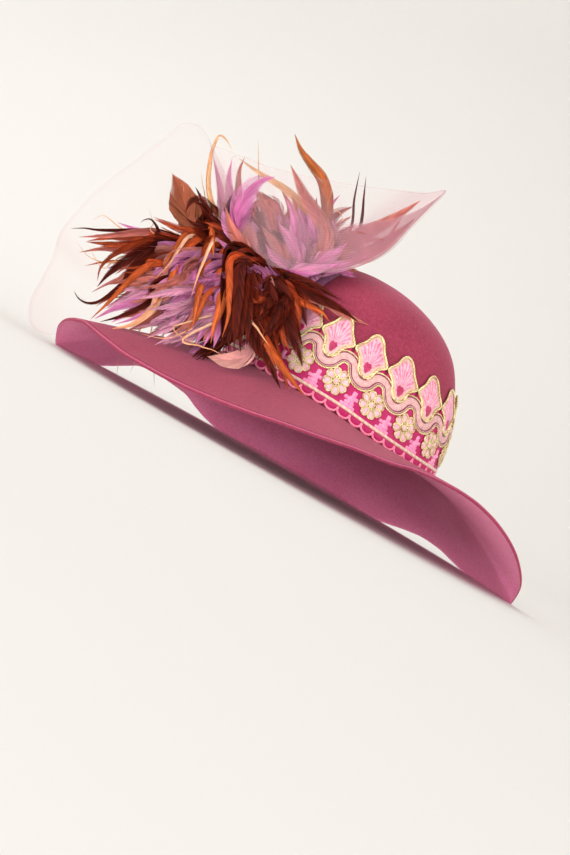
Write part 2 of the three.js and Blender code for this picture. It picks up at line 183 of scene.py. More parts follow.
# Studio light: a bright white room, two large soft lights high before and behind the hat, and three long low ones
# that light the brim from below. Places and aims are in metres from the crown's foot.
world = bpy.data.worlds.new("white_room")
world.use_nodes = True
world.node_tree.nodes["Background"].inputs["Color"].default_value = (1.0, 0.99, 0.975, 1)
world.node_tree.nodes["Background"].inputs["Strength"].default_value = 0.86
scene.world = world
scene.view_settings.view_transform = "Standard"
for name, place, aim, width, height, power, colour in (
    ("key_light", (1.2, -1.5, 1.5), (0, 0, 0.1), 1.2, 1.2, 11, (1, 0.98, 0.96)),
    ("back_light", (-1.2, -0.6, 1.7), (0, 0, 0.1), 1.2, 1.2, 9, (1, 0.98, 0.96)),
    ("low_light", (2.1, -0.3, 0.055), (0, 0, 0.045), 1.4, 0.1, 14, (1, 0.97, 0.97)),
    ("front_light", (1.0, -1.5, 0.055), (0, -0.15, 0.045), 1.2, 0.1, 12, (1, 0.97, 0.98)),
    ("rear_light", (1.2, 1.3, 0.055), (0, -0.2, 0.035), 1.2, 0.1, 13, (1, 0.97, 0.98)),
):
    data = bpy.data.lights.new(name, "AREA")
    data.shape = "RECTANGLE"
    data.size, data.size_y, data.energy, data.color = width, height, power, colour
    light = bpy.data.objects.new(name, data)
    light.location = Vector(place) + Vector(foot_middle)
    light.rotation_euler = (Vector(aim) - Vector(place)).to_track_quat("-Z", "Y").to_euler()
    scene.collection.objects.link(light)


# The brim: one sheet of wool felt, 2.8 mm thick, blocked with the crown and steamed into a wide wave. Its edge is
# left raw, with a thin painted highlight along its upper corner all round, and its underside is painted lighter than
# its top as bounce light. It rests on the floor at the front, behind and on the far side.
felt_thickness = 2.8
foot_height = 62
half_length = 95.5
half_width = 79.5
crown_top = 171
crown_foot = np.array([
    [0, 0.985], [30, 1.0], [60, 1.01], [90, 0.99], [112, 0.945], [135, 0.905], [160, 0.88], [180, 0.87],
    [200, 0.88], [225, 0.905], [248, 0.945], [270, 0.99], [300, 1.01], [330, 1.0],
])
# direction in degrees from the front over the left, height as a share of foot_height, droop
brim_edge = np.array([
    [0, -0.006, 1.5], [4.5, 0.097, 1.4], [7, 0.155, 1.35], [10, 0.213, 1.27], [14, 0.287, 1.2],
    [18, 0.352, 1.15], [22, 0.395, 1.1], [26, 0.423, 1.08], [30, 0.403, 1.08], [35, 0.371, 1.1],
    [42, 0.339, 1.12], [50, 0.344, 1.12], [57, 0.368, 1.12], [64, 0.411, 1.12], [72, 0.473, 1.12],
    [80, 0.548, 1.12], [90, 0.631, 1.12], [100, 0.719, 1.1], [108, 0.771, 1.1], [114, 0.839, 1.1],
    [119, 0.868, 1.1], [125, 0.879, 1.1], [130, 0.865, 1.12], [136, 0.81, 1.2], [142, 0.718, 1.3],
    [149, 0.577, 1.4], [155, 0.429, 1.45], [160, 0.311, 1.5], [165, 0.198, 1.5], [168, 0.105, 1.55],
    [171, 0, 1.55], [176, -0.052, 1.6], [187, -0.087, 1.6], [196, -0.094, 1.6], [203, -0.063, 1.6],
    [210.5, -0.005, 1.6], [217, 0.045, 1.5], [223, 0.094, 1.5], [229, 0.11, 1.45], [235, 0.077, 1.4],
    [240, 0.029, 1.4], [247, -0.04, 1.4], [257, -0.089, 1.4], [281, -0.089, 1.4], [291, -0.024, 1.4],
    [297, 0.048, 1.4], [301, 0.124, 1.4], [305, 0.21, 1.4], [310, 0.244, 1.4], [316, 0.268, 1.4],
    [321, 0.247, 1.4], [325, 0.166, 1.4], [330, 0.061, 1.45], [335, -0.024, 1.5], [343, -0.103, 1.5],
    [351, -0.065, 1.5],
])


def eased(table, at, turn=0):
    """Columns of a table at `at`: a cubic between each two rows, whose slope at a row is the harmonic mean of the
    rates on either side, or 0 at a peak. `turn` is the length of a table that closes on itself."""
    at = np.asarray(at, float)
    if turn:
        before, after = table[-2:].copy(), table[:3].copy()
        before[:, 0] -= turn
        after[:, 0] += turn
        at = (at - table[0, 0]) % turn + table[0, 0]
    else:
        before, after = table[:1], table[-1:]
    rows = np.vstack([before, table, after])
    x, v = rows[:, 0], rows[:, 1:]
    rate = np.diff(v, axis=0) / np.where(np.diff(x) == 0, 1, np.diff(x))[:, None]
    a, b = rate[:-1], rate[1:]
    slope = np.zeros_like(v)
    slope[1:-1] = np.where(a * b > 0, 2 * a * b / np.where(a + b == 0, 1, a + b), 0)
    i = np.clip(np.searchsorted(x, at, side="right") - 1, 1, len(x) - 3)
    span = (x[i + 1] - x[i])[..., None]
    k = np.clip((at - x[i])[..., None] / span, 0, 1)
    return (
        v[i]
        + (v[i + 1] - v[i]) * k * k * (3 - 2 * k)
        + span * (slope[i] * k * (1 - k) ** 2 - slope[i + 1] * k * k * (1 - k))
    )


def oval(direction):
    """Distance from the middle to the crown's foot in a direction: one over the length of (sin / a, cos / b)."""
    a = np.radians(direction)
    return 1 / np.hypot(np.sin(a) / half_width, np.cos(a) / half_length)


def foot_at(direction):
    return foot_height * eased(crown_foot, direction, 360)[..., 0]


def brim_reach(direction):
    """Distance to the brim's edge, found by halving: (|x - 25| / side) ** full + (|y| / end) ** full is 1 there."""
    a = np.radians(direction)
    near, far = np.zeros_like(a), np.full_like(a, 400)
    for _ in range(34):
        r = (near + far) / 2
        x, y = r * np.sin(a) - 25, r * np.cos(a)
        side, full = np.where(x > 0, 143, 222), np.where(x > 0, 2.15, 2.05)
        inside = (abs(x) / side) ** full + (abs(y) / np.where(y > 0, 216.6, 196.5)) ** full < 1
        near, far = np.where(inside, r, near), np.where(inside, far, r)
    return near


def brim_under(direction, out):
    """Height of the brim's underside: it falls from the crown's foot to the edge as the share out ** droop."""
    edge, droop = np.moveaxis(eased(brim_edge, direction, 360), -1, 0)
    top = foot_at(direction) - felt_thickness - 0.3
    return np.maximum(top + (edge * foot_height - top) * np.maximum(out, 0) ** droop, 0)


brim_direction = np.linspace(0, 360, 720, endpoint=False)[:, None]
inner_radius, outer_radius = oval(brim_direction), brim_reach(brim_direction)
out_rows = np.concatenate([np.linspace(-0.03, 0.94, 34), np.linspace(0.95, 1, 8)])
edge_turn = np.linspace(np.pi / 2, -np.pi / 2, 9)[1:-1]
rim = 1.4
brim_out = np.concatenate([out_rows, np.ones(7), out_rows[::-1]])[None, :]
brim_past = np.concatenate([0 * out_rows, rim * 0.8 * np.cos(edge_turn), 0 * out_rows])[None, :]
brim_up = np.concatenate([0 * out_rows + felt_thickness, rim + rim * np.sin(edge_turn), 0 * out_rows])[None, :]
brim_radius = inner_radius + (outer_radius - inner_radius) * brim_out + brim_past - rim * 0.8 * (brim_out > 0.99)
brim_turn = np.radians(brim_direction)
brim_height = brim_under(brim_direction, brim_out) + brim_up
brim_points = np.stack([brim_radius * np.sin(brim_turn), -brim_radius * np.cos(brim_turn), brim_height], -1)
brim = new_mesh("felt_brim", brim_points.reshape(-1, 3), grid_faces(720, brim_out.size, True, True)[:, ::-1])
# painted highlight: a thin paler band along the upper corner of the brim's raw edge
edge_painted_highlight = np.clip(1 - abs(brim_up - 2.3) / 0.5, 0, 1) * (brim_past > 0)
# painted light: marks the underside, which is given a lighter felt colour as bounce light
underside_painted_bounce = np.broadcast_to((brim_up < 1.9) & (brim_past == 0), brim_height.shape)


def set_values(piece, name, values):
    """A number for each point of a piece, kept under a name that its material reads."""
    piece.data.attributes.new(name, "FLOAT", "POINT").data.foreach_set("value", np.ravel(values).astype(np.float32))


def finished(piece, material, node=None):
    """Gives a piece its material, has it ride on the hat, and stand for a CAD node."""
    piece.data.materials.append(material)
    if node:
        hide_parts(node)
    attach(piece, "root")


set_values(brim, "edge_painted_highlight", np.broadcast_to(edge_painted_highlight, brim_height.shape))
set_values(brim, "underside_painted_bounce", underside_painted_bounce)


def felt_relief(shade, strength):
    """Normals of pressed wool: a fine tangle of fibres over a soft unevenness from the block."""
    tangle = shade.noise(1500, 4, Roughness=0.7)
    clumps = shade.noise(260, 3, Distortion=0.6)
    return (tangle * 0.65 + clumps * 0.8).bump(strength, 0.0005)


def felt_colour(shade, dark, light):
    """Dyed wool: cloudy dye at the width of a hand, and a heather of paler fibres."""
    cloud = shade.noise(16, 3)
    heather = shade.noise(480, 4)
    return (cloud * 1.1 + heather * 1.8 - 0.95).mixed(dark, light)


rose_felt, shade = finish_named(
    "rose_felt_brim", Roughness=0.86, Specular_IOR_Level=0.25, Sheen_Weight=0.35, Sheen_Roughness=0.45,
    Sheen_Tint=(*paint(235, 150, 170), 1),
)
top_colour = felt_colour(shade, paint(122, 37, 62), paint(152, 55, 78))
# painted light: the underside's felt colour is much lighter than the top's, standing in for bounce light from the floor
underside_painted_bounce_colour = felt_colour(shade, paint(208, 112, 150), paint(234, 146, 182))
body_colour = shade.attribute("underside_painted_bounce").mixed(top_colour, underside_painted_bounce_colour)
# the painted highlight along the edge's upper corner is mixed into the felt's colour
edged_colour = (shade.attribute("edge_painted_highlight") * 0.6).mixed(body_colour, paint(214, 130, 166))
connect(rose_felt, Base_Color=edged_colour, Normal=felt_relief(shade, 0.55))
finished(brim, rose_felt, "brim")


# The crown: a deep dome of the same felt, blocked smooth, leaning a little to the front, open below for the head.
# rise from foot to top, half size as a share of the foot's, lean to the front as a share of half_length
crown_side = np.array([
    [0, 1, 0], [0.1, 0.994, 0], [0.21, 0.979, 0], [0.3, 0.96, 0.002], [0.43, 0.917, 0.008], [0.54, 0.874, 0.018],
    [0.64, 0.822, 0.03], [0.735, 0.752, 0.04], [0.81, 0.67, 0.052], [0.88, 0.558, 0.07], [0.935, 0.425, 0.09],
    [0.973, 0.285, 0.108], [0.994, 0.14, 0.122], [1, 0, 0.125],
])


def crown_point(direction, rise, off=0.0):
    """A point of the crown's wall: the foot's oval times the side's half size, set forward by its lean, then `off`
    millimetres out along the normal of the side's profile."""
    def profile(t):
        half, lean = np.moveaxis(eased(crown_side, t), -1, 0)
        return half * oval(direction), lean * half_length
    foot = foot_at(direction)
    height = crown_top - foot
    low, high = np.maximum(rise - 0.01, 0), np.minimum(rise + 0.01, 1)
    run, climb = profile(high)[0] - profile(low)[0], (high - low) * height
    length = np.hypot(run, climb)
    radius, lean = profile(rise)
    out = np.where(rise >= 1, 0, np.maximum(radius + off * climb / length, 0))
    z = foot + rise * height - np.where(rise >= 1, -off, off * run / length)
    a = np.radians(direction)
    return np.stack([out * np.sin(a), -out * np.cos(a) - lean, z], -1)


crown_direction = np.linspace(0, 360, 300, endpoint=False)[:, None]
rises = np.concatenate([np.linspace(0, 0.8, 40), 1 - np.linspace(0.44, 0.01, 30) ** 2, [1]])[None, :]
outer_wall = crown_point(crown_direction, rises)
inner_wall = crown_point(crown_direction, rises, -felt_thickness)
inner_wall[:, 0, 2] = outer_wall[:, 0, 2]
crown_points = np.concatenate([outer_wall, inner_wall[:, ::-1]], 1)
crown = new_mesh("felt_crown", crown_points.reshape(-1, 3), grid_faces(300, crown_points.shape[1], True, True))
crown_felt, shade = finish_named(
    "rose_felt_crown", Roughness=0.84, Specular_IOR_Level=0.28, Sheen_Weight=0.35, Sheen_Roughness=0.4,
    Sheen_Tint=(*paint(235, 150, 175), 1),
)
crown_colour = felt_colour(shade, paint(128, 38, 62), paint(156, 56, 78))
connect(crown_felt, Base_Color=crown_colour, Normal=felt_relief(shade, 0.5))
finished(crown, crown_felt, "crown")


# The trim: a ribbon embroidered in one repeat of 32 mm, seventeen times round, and sewn on over the crown's foot:
# magenta satin with a scalloped lower edge under a cream braid, flowers, a wavy band, and satin fans, all couched
# with gold cord. It stands about 2 mm off the felt.
repeats = 17
braid_line = 7
fine_direction = np.linspace(0, 360, 3601)
fine_turn = np.radians(fine_direction)
foot_line = oval(fine_direction)[:, None] * np.stack([np.sin(fine_turn), -np.cos(fine_turn)], 1)
foot_run = np.concatenate([[0], np.cumsum(np.hypot(*np.diff(foot_line, axis=0).T))])
pitch = foot_run[-1] / repeats
wall_columns = repeats * 44
wall_direction = np.interp(np.arange(wall_columns) * foot_run[-1] / wall_columns, foot_run, fine_direction)[:, None]
wall_rise = np.linspace(0, 0.8, 121)[None, :]
wall_line = crown_point(wall_direction, wall_rise)
climbed = np.cumsum(np.linalg.norm(np.diff(wall_line, axis=1, prepend=wall_line[:, :1]), axis=2), 1)
climb_step = 0.75
wall_climb = np.arange(0, 80, climb_step)
wall_share = np.stack([np.interp(wall_climb, column, wall_rise[0]) for column in climbed])
wall = crown_point(wall_direction, wall_share)
wall_along = np.roll(wall, -1, 0) - np.roll(wall, 1, 0)
wall_normal = np.cross(wall_along, np.gradient(wall, axis=1))
wall_normal /= np.linalg.norm(wall_normal, axis=2, keepdims=True)


def on_wall(run, climb, lift):
    """Points over the crown's felt: `run` millimetres round the foot, `climb` up from the braid line and `lift` out,
    read between the wall's columns and rows; also the wall's normals there."""
    x = np.asarray(run, float) / foot_run[-1] * wall_columns
    y = np.clip((np.asarray(climb, float) + braid_line) / climb_step, 0, len(wall_climb) - 1.01)
    i, j = np.floor(x).astype(int), np.floor(y).astype(int)
    u, v = (x - i)[..., None], (y - j)[..., None]
    i, i2 = i % wall_columns, (i + 1) % wall_columns
    point, normal = (
        (m[i, j] * (1 - u) + m[i2, j] * u) * (1 - v) + (m[i, j + 1] * (1 - u) + m[i2, j + 1] * u) * v
        for m in (wall, wall_normal)
    )
    normal /= np.linalg.norm(normal, axis=-1, keepdims=True)
    return point + normal * np.asarray(lift)[..., None], normal


def each_repeat(motif):
    """A motif's line of (across, climb) points laid out on every repeat, as (repeats, points, 2)."""
    motif = np.asarray(motif, float)
    centres = (np.arange(repeats) + 0.5) * pitch
    return np.stack([centres[:, None] + motif[None, :, 0], np.broadcast_to(motif[:, 1], (repeats, len(motif)))], 2)


def smooth_line(points, count, closed=False):
    """A curve through points by Catmull and Rom's rule, cut into equal lengths."""
    p = np.asarray(points, float)
    p = np.vstack([p[-1:], p, p[:2]]) if closed else np.vstack([2 * p[:1] - p[1:2], p, 2 * p[-1:] - p[-2:-1]])
    k = np.linspace(0, 1, 24, endpoint=False)[None, :, None]
    a, b, c, d = p[:-3, None], p[1:-2, None], p[2:-1, None], p[3:, None]
    dense = 0.5 * (2 * b + (c - a) * k + (2 * a - 5 * b + 4 * c - d) * k**2 + (3 * b - a - 3 * c + d) * k**3)
    dense = np.vstack([dense.reshape(-1, p.shape[1]), p[-2:-1]])
    run = np.concatenate([[0], np.cumsum(np.linalg.norm(np.diff(dense, axis=0), axis=1))])
    at = np.linspace(0, run[-1], count + 1)[:-1] if closed else np.linspace(0, run[-1], count)
    return np.stack([np.interp(at, run, dense[:, i]) for i in range(p.shape[1])], 1)


def repeated(faces, count, size):
    """The faces of one motif, for `count` motifs of `size` points each."""
    return (faces + np.arange(count)[:, None, None] * size).reshape(-1, 4)


def couched_cord(lines, radius, lift, closed=True, sides=6):
    """Cords sewn along lines on the wall: at each point a ring of `sides` points round the line, flattened a little.
    Returns points, faces and, for the twist, the length along and the turn round at each point."""
    lines = np.asarray(lines)
    centre, normal = on_wall(lines[..., 0], lines[..., 1], np.full(lines.shape[:2], lift))
    if closed:
        along = np.roll(centre, -1, 1) - np.roll(centre, 1, 1)
    else:
        along = np.gradient(centre, axis=1)
    side = np.cross(along, normal)
    side /= np.linalg.norm(side, axis=2, keepdims=True)
    angle = np.linspace(0, 2 * np.pi, sides, endpoint=False)[:, None] - np.pi / 2
    ring = centre[:, :, None] + radius * (np.cos(angle) * side[:, :, None] + 0.85 * np.sin(angle) * normal[:, :, None])
    count, steps = lines.shape[:2]
    faces = repeated(grid_faces(steps, sides, closed, True), count, steps * sides)
    length = np.cumsum(np.linalg.norm(np.diff(centre, axis=1, prepend=centre[:, :1]), axis=2), 1)
    twist = np.broadcast_to(length[:, :, None] * 2.5, ring.shape[:3]) + 2 * np.arange(sides) * 2 * np.pi / sides
    return ring.reshape(-1, 3), faces, twist.ravel()


def sewn_pads(outlines, middle, lift, swell, rows=6):
    """Raised satin stitch inside closed outlines: rings that shrink to `middle`, lifted by swell * sqrt(1 - r * r).
    Returns points, faces and the share of the way round at each point."""
    outlines = np.asarray(outlines)
    share = np.linspace(1, 0, rows)[None, :, None]
    run = middle[:, None, None, 0] + (outlines[:, None, :, 0] - middle[:, None, None, 0]) * share
    climb = middle[:, None, None, 1] + (outlines[:, None, :, 1] - middle[:, None, None, 1]) * share
    rise = lift + swell * np.sqrt(1 - share**2) + 0 * run
    points, _ = on_wall(run, climb, rise)
    count, steps = outlines.shape[:2]
    faces = repeated(grid_faces(rows, steps, False, True), count, rows * steps)
    turn = np.broadcast_to(np.arange(steps) / steps, run.shape)
    return points.reshape(-1, 3), faces, turn.ravel()


def joined(parts):
    """Several sets of points, faces and values as one."""
    starts = np.cumsum([0] + [len(points) for points, _, _ in parts[:-1]])
    return (
        np.vstack([points for points, _, _ in parts]),
        np.vstack([faces + start for (_, faces, _), start in zip(parts, starts)]),
        np.concatenate([values for _, _, values in parts]),
    )


# half of a fan, from its base over the shoulder to the peak, as across and climb
fan_side = [[0, 27.4], [4, 28.4], [6.4, 31.4], [7.5, 35.4], [10, 39.6], [14.6, 43], [15, 45.4], [12, 49], [8.8, 53],
            [6.6, 57.4], [4.2, 60.4], [1.8, 61.9]]
fan_line = smooth_line(fan_side + [[0, 62.1]] + [[-x, y] for x, y in fan_side[:0:-1]], 72, True)
wave_across = np.linspace(0, 1, 44, endpoint=False)


def wave(shift):
    """The wavy band's line, `shift` millimetres over its middle: a crest of 34 between two fans, a trough of 22.6 under
    each, swung a little to both sides so that its flanks stand steep."""
    across = (wave_across - 0.5) * pitch + 1.1 * np.sin(4 * np.pi * wave_across)
    climb = 28.3 - 5.8 * np.cos(2 * np.pi * (wave_across - 0.5))
    slope = np.gradient(climb) / np.gradient(across)
    return np.stack([across - shift * slope / np.hypot(1, slope), climb + shift / np.hypot(1, slope)], 1)


def whole_round(motif):
    """A motif that runs on from repeat to repeat, as one closed line."""
    return each_repeat(motif).reshape(1, -1, 2)


# ground: magenta satin from the scallops to the band, and on behind the fans
ground_across = np.linspace(-0.5, 0.5, 40, endpoint=False)
scallop_low = -6.4 * np.sqrt(np.maximum(1 - ((ground_across * 3 + 0.5) % 1 * 2 - 1) ** 2, 0)) ** 0.8 * 0.55 - 2.9
peak_across, peak_climb = [0, 4, 6.4, 8.6, 11.5, 13.5, 16.2], [60.4, 58.6, 55.6, 51.6, 48, 45, 37]
ground_high = np.interp(abs(ground_across) * pitch, peak_across, peak_climb)
ground_run = ((np.arange(repeats) + 0.5)[:, None] + ground_across[None, :]).ravel() * pitch
up = np.concatenate([[0, 0], np.linspace(0, 1, 18), [1, 1]])[None, :]
low, high = np.tile(scallop_low, repeats)[:, None], np.tile(ground_high, repeats)[:, None]
ground_lift = np.concatenate([[0.4, 0.9], np.full(18, 1.3), [0.9, 0.4]])[None, :]
ground_points, _ = on_wall(ground_run[:, None] + 0 * up, low + (high - low) * up, ground_lift + 0 * low)
ground = new_mesh("trim_ground", ground_points.reshape(-1, 3), grid_faces(len(ground_run), up.size, True, True))
set_values(ground, "climb", low + (high - low) * up)

magenta_satin, shade = finish_named("magenta_satin", Roughness=0.42, Specular_IOR_Level=0.3, Sheen_Weight=0.05)
tone = (shade.attribute("climb") * 9).wave() * 0.35 + shade.noise(700, 3) * 0.65
connect(magenta_satin, Base_Color=tone.mixed(paint(144, 8, 72), paint(206, 30, 106)), Normal=tone.bump(0.5))
finished(ground, magenta_satin, "trim")


def thread_finish(name, dark, light, strands, gloss=0.4):
    """Satin stitch: bright and dark threads that run by the attribute `thread`, with a bump for each."""
    material, shade = finish_named(name, Roughness=gloss, Specular_IOR_Level=0.5, Sheen_Weight=0.25)
    uneven = shade.noise(320, 3)
    strand = (shade.attribute("thread") * strands + uneven * 7).wave()
    tone = strand * 0.5 + uneven * 1.1 - 0.3
    connect(material, Base_Color=tone.mixed(paint(*dark), paint(*light)), Normal=tone.bump(0.6))
    return material


def sew(name, parts, material):
    """A sewn piece of the trim from its sets of points, faces and thread values."""
    points, faces, thread = joined(parts)
    piece = new_mesh(name, points, faces)
    set_values(piece, "thread", thread)
    finished(piece, material)


# each fan: a beige border round a pink fan, with a drop of magenta silk at its foot
centres = each_repeat([[0, 0]])[:, 0]
fans = each_repeat(fan_line)
beige_pads = sewn_pads(fans, centres + [0, 42], 1.25, 0.9, 5)
beige_satin = thread_finish("beige_satin", (196, 138, 122), (240, 208, 186), 420)
sew("trim_fan_borders", [beige_pads], beige_satin)
inner_side = [[0, 30.4], [3.2, 32.4], [4.8, 37], [8, 41.4], [11.2, 44.4], [10.6, 47], [7.6, 51], [5.2, 55.4],
              [2.8, 57.8]]
inner_line = smooth_line(inner_side + [[0, 58.6]] + [[-x, y] for x, y in inner_side[:0:-1]], 56, True)
pink_pads = sewn_pads(each_repeat(inner_line), centres + [0, 37], 1.75, 0.9, 7)
sew("trim_fans", [pink_pads], thread_finish("pink_satin", (202, 72, 118), (242, 192, 204), 110, 0.33))
drop_side = [[0, 30.6], [2.1, 33], [3.4, 36.4], [3, 39.4], [1.2, 40.2]]
drop_line = smooth_line(drop_side + [[0, 38.8]] + [[-x, y] for x, y in drop_side[:0:-1]], 20, True)
drops = sewn_pads(each_repeat(drop_line), centres + [0, 35.8], 2.35, 0.5, 4)

# the wavy band: a raised pink and beige strip between dark edges, and its gold cords below and along the fans
band_rows = np.array([-2.4, -1.6, -0.4, 0.9, 2.3, 3.3])
band_lift = np.array([1.3, 2.1, 2.35, 2.35, 2.1, 1.3])
band_lines = [whole_round(wave(row)) for row in band_rows]
band_points = np.stack([on_wall(line[0, :, 0], line[0, :, 1], np.full(line.shape[1], lift))[0]
                        for line, lift in zip(band_lines, band_lift)], 1)
band_run = np.broadcast_to(band_rows, band_points.shape[:2])
band = (band_points.reshape(-1, 3), grid_faces(*band_points.shape[:2], True, False), band_run.ravel())
thin_line = couched_cord(whole_round(wave(-3.35)), 0.5, 2.2, True, 5)
sew("trim_band", [band, thin_line], thread_finish("pale_pink_satin", (186, 118, 120), (234, 196, 188), 5))
edges = [couched_cord(whole_round(wave(shift)), 0.4, 1.9, True, 5) for shift in (-4.1, -2.6, 3.5)]

# flowers: eight looped petals of gold cord filled with pale pink, round a bead of pink
petal = np.linspace(0, 2 * np.pi, 20, endpoint=False)
petal_out, petal_across = 6.6 + 3.5 * np.cos(petal), 2.5 * np.sin(petal) * (1 + 0.42 * np.cos(petal))
flower_at = np.array([0.5 * pitch, 13.8])
petal_lines = []
for turn in (np.arange(8) + 0.5) * np.pi / 4:
    cosine, sine = np.cos(turn), np.sin(turn)
    line = np.stack([petal_out * cosine - petal_across * sine, petal_out * sine + petal_across * cosine], 1)
    petal_lines.append(each_repeat(line + flower_at))
petals = np.concatenate(petal_lines)
petal_cords = couched_cord(petals, 0.55, 2.35)
petal_pads = sewn_pads(petals, petals.mean(1), 1.7, 0.5, 4)
rings = each_repeat(2.3 * np.stack([np.cos(petal), np.sin(petal)], 1) + flower_at)
ring_cords = couched_cord(rings, 0.5, 2.6)
beads = sewn_pads(rings, rings.mean(1), 1.9, 1.3, 4)
sew("trim_petals", [petal_pads, beads], thread_finish("pale_petal_satin", (226, 150, 168), (250, 218, 214), 90))

def bar_line(left, right, low, high):
    """A bar with rounded corners: the outline of cos and sin to the power 0.4, between these sides."""
    cosine, sine = np.cos(petal), np.sin(petal)
    x = (left + right) / 2 + (right - left) / 2 * np.sign(cosine) * abs(cosine) ** 0.4
    y = (low + high) / 2 + (high - low) / 2 * np.sign(sine) * abs(sine) ** 0.4
    return np.stack([x, y], 1)


# trees: stepped pale pink motifs that stand on the braid between the flowers
tree_bars = [(-6.6, 6.2, 1.2, 4), (-4, 4.2, 3.6, 6.6), (-5.6, -2.2, 7, 9.6), (2.8, 6, 8.6, 11.2),
             (-2.2, 3.4, 6.2, 10.4), (-0.6, 3, 9.8, 15)]
tree_lines = [each_repeat(bar_line(*bar)) for bar in tree_bars]
trees = joined([sewn_pads(line, line.mean(1), 1.3, 0.6, 4) for line in tree_lines])
sew("trim_trees", [trees], thread_finish("orchid_pink_satin", (222, 100, 154), (244, 172, 202), 60))

# scallops: three small loops of salmon pink cord to a repeat, hung under the braid
loop = np.linspace(0, np.pi, 14)
loop_line = np.stack([-pitch / 6 * np.cos(loop), -1.6 - 5 * np.sin(loop) ** 0.75], 1)
loops = np.concatenate([each_repeat(loop_line + [[k * pitch / 3, 0]]) for k in (-1, 0, 1)])
loop_cords = couched_cord(loops, 1.0, 1.5, False)
sew("trim_scallop_cords", [loop_cords], thread_finish("salmon_pink_cord", (216, 84, 124), (250, 150, 172), 1))
sew("trim_drops", [drops], thread_finish("magenta_silk", (146, 8, 62), (200, 28, 96), 30))
sew("trim_dark_stitches", edges, thread_finish("wine_silk", (112, 14, 52), (170, 24, 84), 30))

# the braid: a flat cream cord along the foot of the ground
round_line = np.stack([np.linspace(0, foot_run[-1], 700, endpoint=False), np.full(700, 0.15)], 1)[None]
braid = couched_cord(round_line, 1.25, 1.6, True, 8)
sew("trim_braid", [braid], thread_finish("cream_braid", (200, 158, 134), (238, 214, 190), 0.5))

# gold cord round fans, petals and below the band
fan_cords = couched_cord(fans, 0.85, 2.1)
wave_cord = couched_cord(whole_round(wave(-4.7)), 0.7, 1.9)
upper_cord = couched_cord(whole_round(wave(4.5)), 0.6, 1.6)
gold_cord, shade = finish_named("gold_cord", Metallic=0.12, Roughness=0.36, Specular_IOR_Level=0.7)
# painted glints: the colour runs from dark gold to near-white with the twist of the plies, and a noise adds tarnish and
# more glints
ply_and_glints = shade.attribute("thread").wave()
tarnish_and_glints = shade.noise(200, 3)
gold = (ply_and_glints * 0.5 + tarnish_and_glints * 1.8 - 0.6).mixed(paint(160, 108, 44), paint(255, 248, 180))
connect(gold_cord, Base_Color=gold, Normal=ply_and_glints.bump(0.8))
sew("trim_gold_cords", [fan_cords, wave_cord, upper_cord, petal_cords, ring_cords], gold_cord)


# The feathers: dyed cock hackles and coque tails, bunched by their quills under the net at the front left and sewn
# to a felt pad. Long glossy rust, orange and black-brown blades lie over soft lilac ones.
pad_from, pad_turn, pad_columns, pad_rows = 354, 50, 48, 30
pad_across = np.linspace(0, 1, pad_columns)[:, None]
pad_up = np.linspace(0, 1, pad_rows)[None, :]
pad_at = pad_from + pad_turn * pad_across, 0.48 + 0.36 * pad_up
bulge = np.sqrt(np.maximum(1 - (2 * pad_across - 1) ** 2, 0) * np.maximum(1 - (2 * pad_up - 1) ** 2, 0))
pad_face = crown_point(*pad_at, 3 + 9 * bulge)
pad_back = crown_point(*pad_at, 2.5 + 0 * bulge)
pad_points = np.concatenate([pad_face, pad_back[:, ::-1]], 1)
pad_end = np.array([[j, j + 1, 2 * pad_rows - 2 - j, 2 * pad_rows - 1 - j] for j in range(pad_rows - 1)])
far_end = pad_end[:, ::-1] + (pad_columns - 1) * 2 * pad_rows
pad_faces = np.vstack([grid_faces(pad_columns, 2 * pad_rows, False, True), pad_end, far_end])
pad = new_mesh("feather_pad", pad_points.reshape(-1, 3), pad_faces)
pad_felt, shade = finish_named("brown_pad_felt", Roughness=0.9, Sheen_Weight=0.3)
fuzz = shade.noise(500, 4)
connect(pad_felt, Base_Color=fuzz.mixed(paint(70, 26, 50), paint(124, 62, 98)), Normal=fuzz.bump(0.7, 0.001))
finished(pad, pad_felt, "knot")

# dye: colours at the root, the middle, the tip and the ends of the barbs
dyes = {
    "dark": ((22, 5, 3), (66, 15, 8), (60, 18, 11), (110, 34, 17)),
    "rust": ((60, 14, 8), (152, 52, 26), (178, 78, 42), (122, 44, 26)),
    "orange": ((90, 24, 12), (174, 66, 30), (198, 104, 52), (140, 52, 28)),
    "gold": ((104, 48, 26), (156, 80, 38), (168, 94, 48), (114, 50, 28)),
    "leaf": ((92, 36, 22), (158, 90, 64), (130, 62, 42), (146, 82, 58)),
    "lilac": ((116, 40, 78), (180, 82, 134), (198, 112, 160), (210, 146, 182)),
    "mauve": ((88, 28, 32), (160, 76, 76), (178, 96, 82), (198, 134, 120)),
    "ribbon": ((128, 56, 84), (178, 104, 132), (196, 134, 158), (220, 172, 188)),
    "down": ((146, 66, 116), (186, 102, 150), (198, 124, 168), (214, 152, 190)),
    "curl": ((112, 46, 66), (182, 106, 118), (208, 150, 140), (214, 158, 142)),
    "cream": ((190, 110, 80), (234, 190, 166), (220, 142, 84), (224, 170, 130)),
    "tan": ((176, 104, 62), (206, 146, 100), (216, 170, 130), (222, 184, 146)),
}
# outlines: share of the length, share of the width, and how much wider than usual the barbs open
blade = {
    "leaf": ([0, 0.42, 0.6, 0.7, 0.78, 0.89, 1], [0.05, 0.14, 0.5, 0.86, 1, 0.6, 0.01], 1.5),
    "curl": ([0, 0.5, 0.64, 0.8, 0.91, 1], [0.04, 0.12, 0.6, 1, 0.66, 0.02], 1.3),
}
hackle = ([0, 0.08, 0.28, 0.5, 0.7, 0.86, 1], [0.3, 0.55, 0.9, 1, 0.8, 0.45, 0.02], 1)
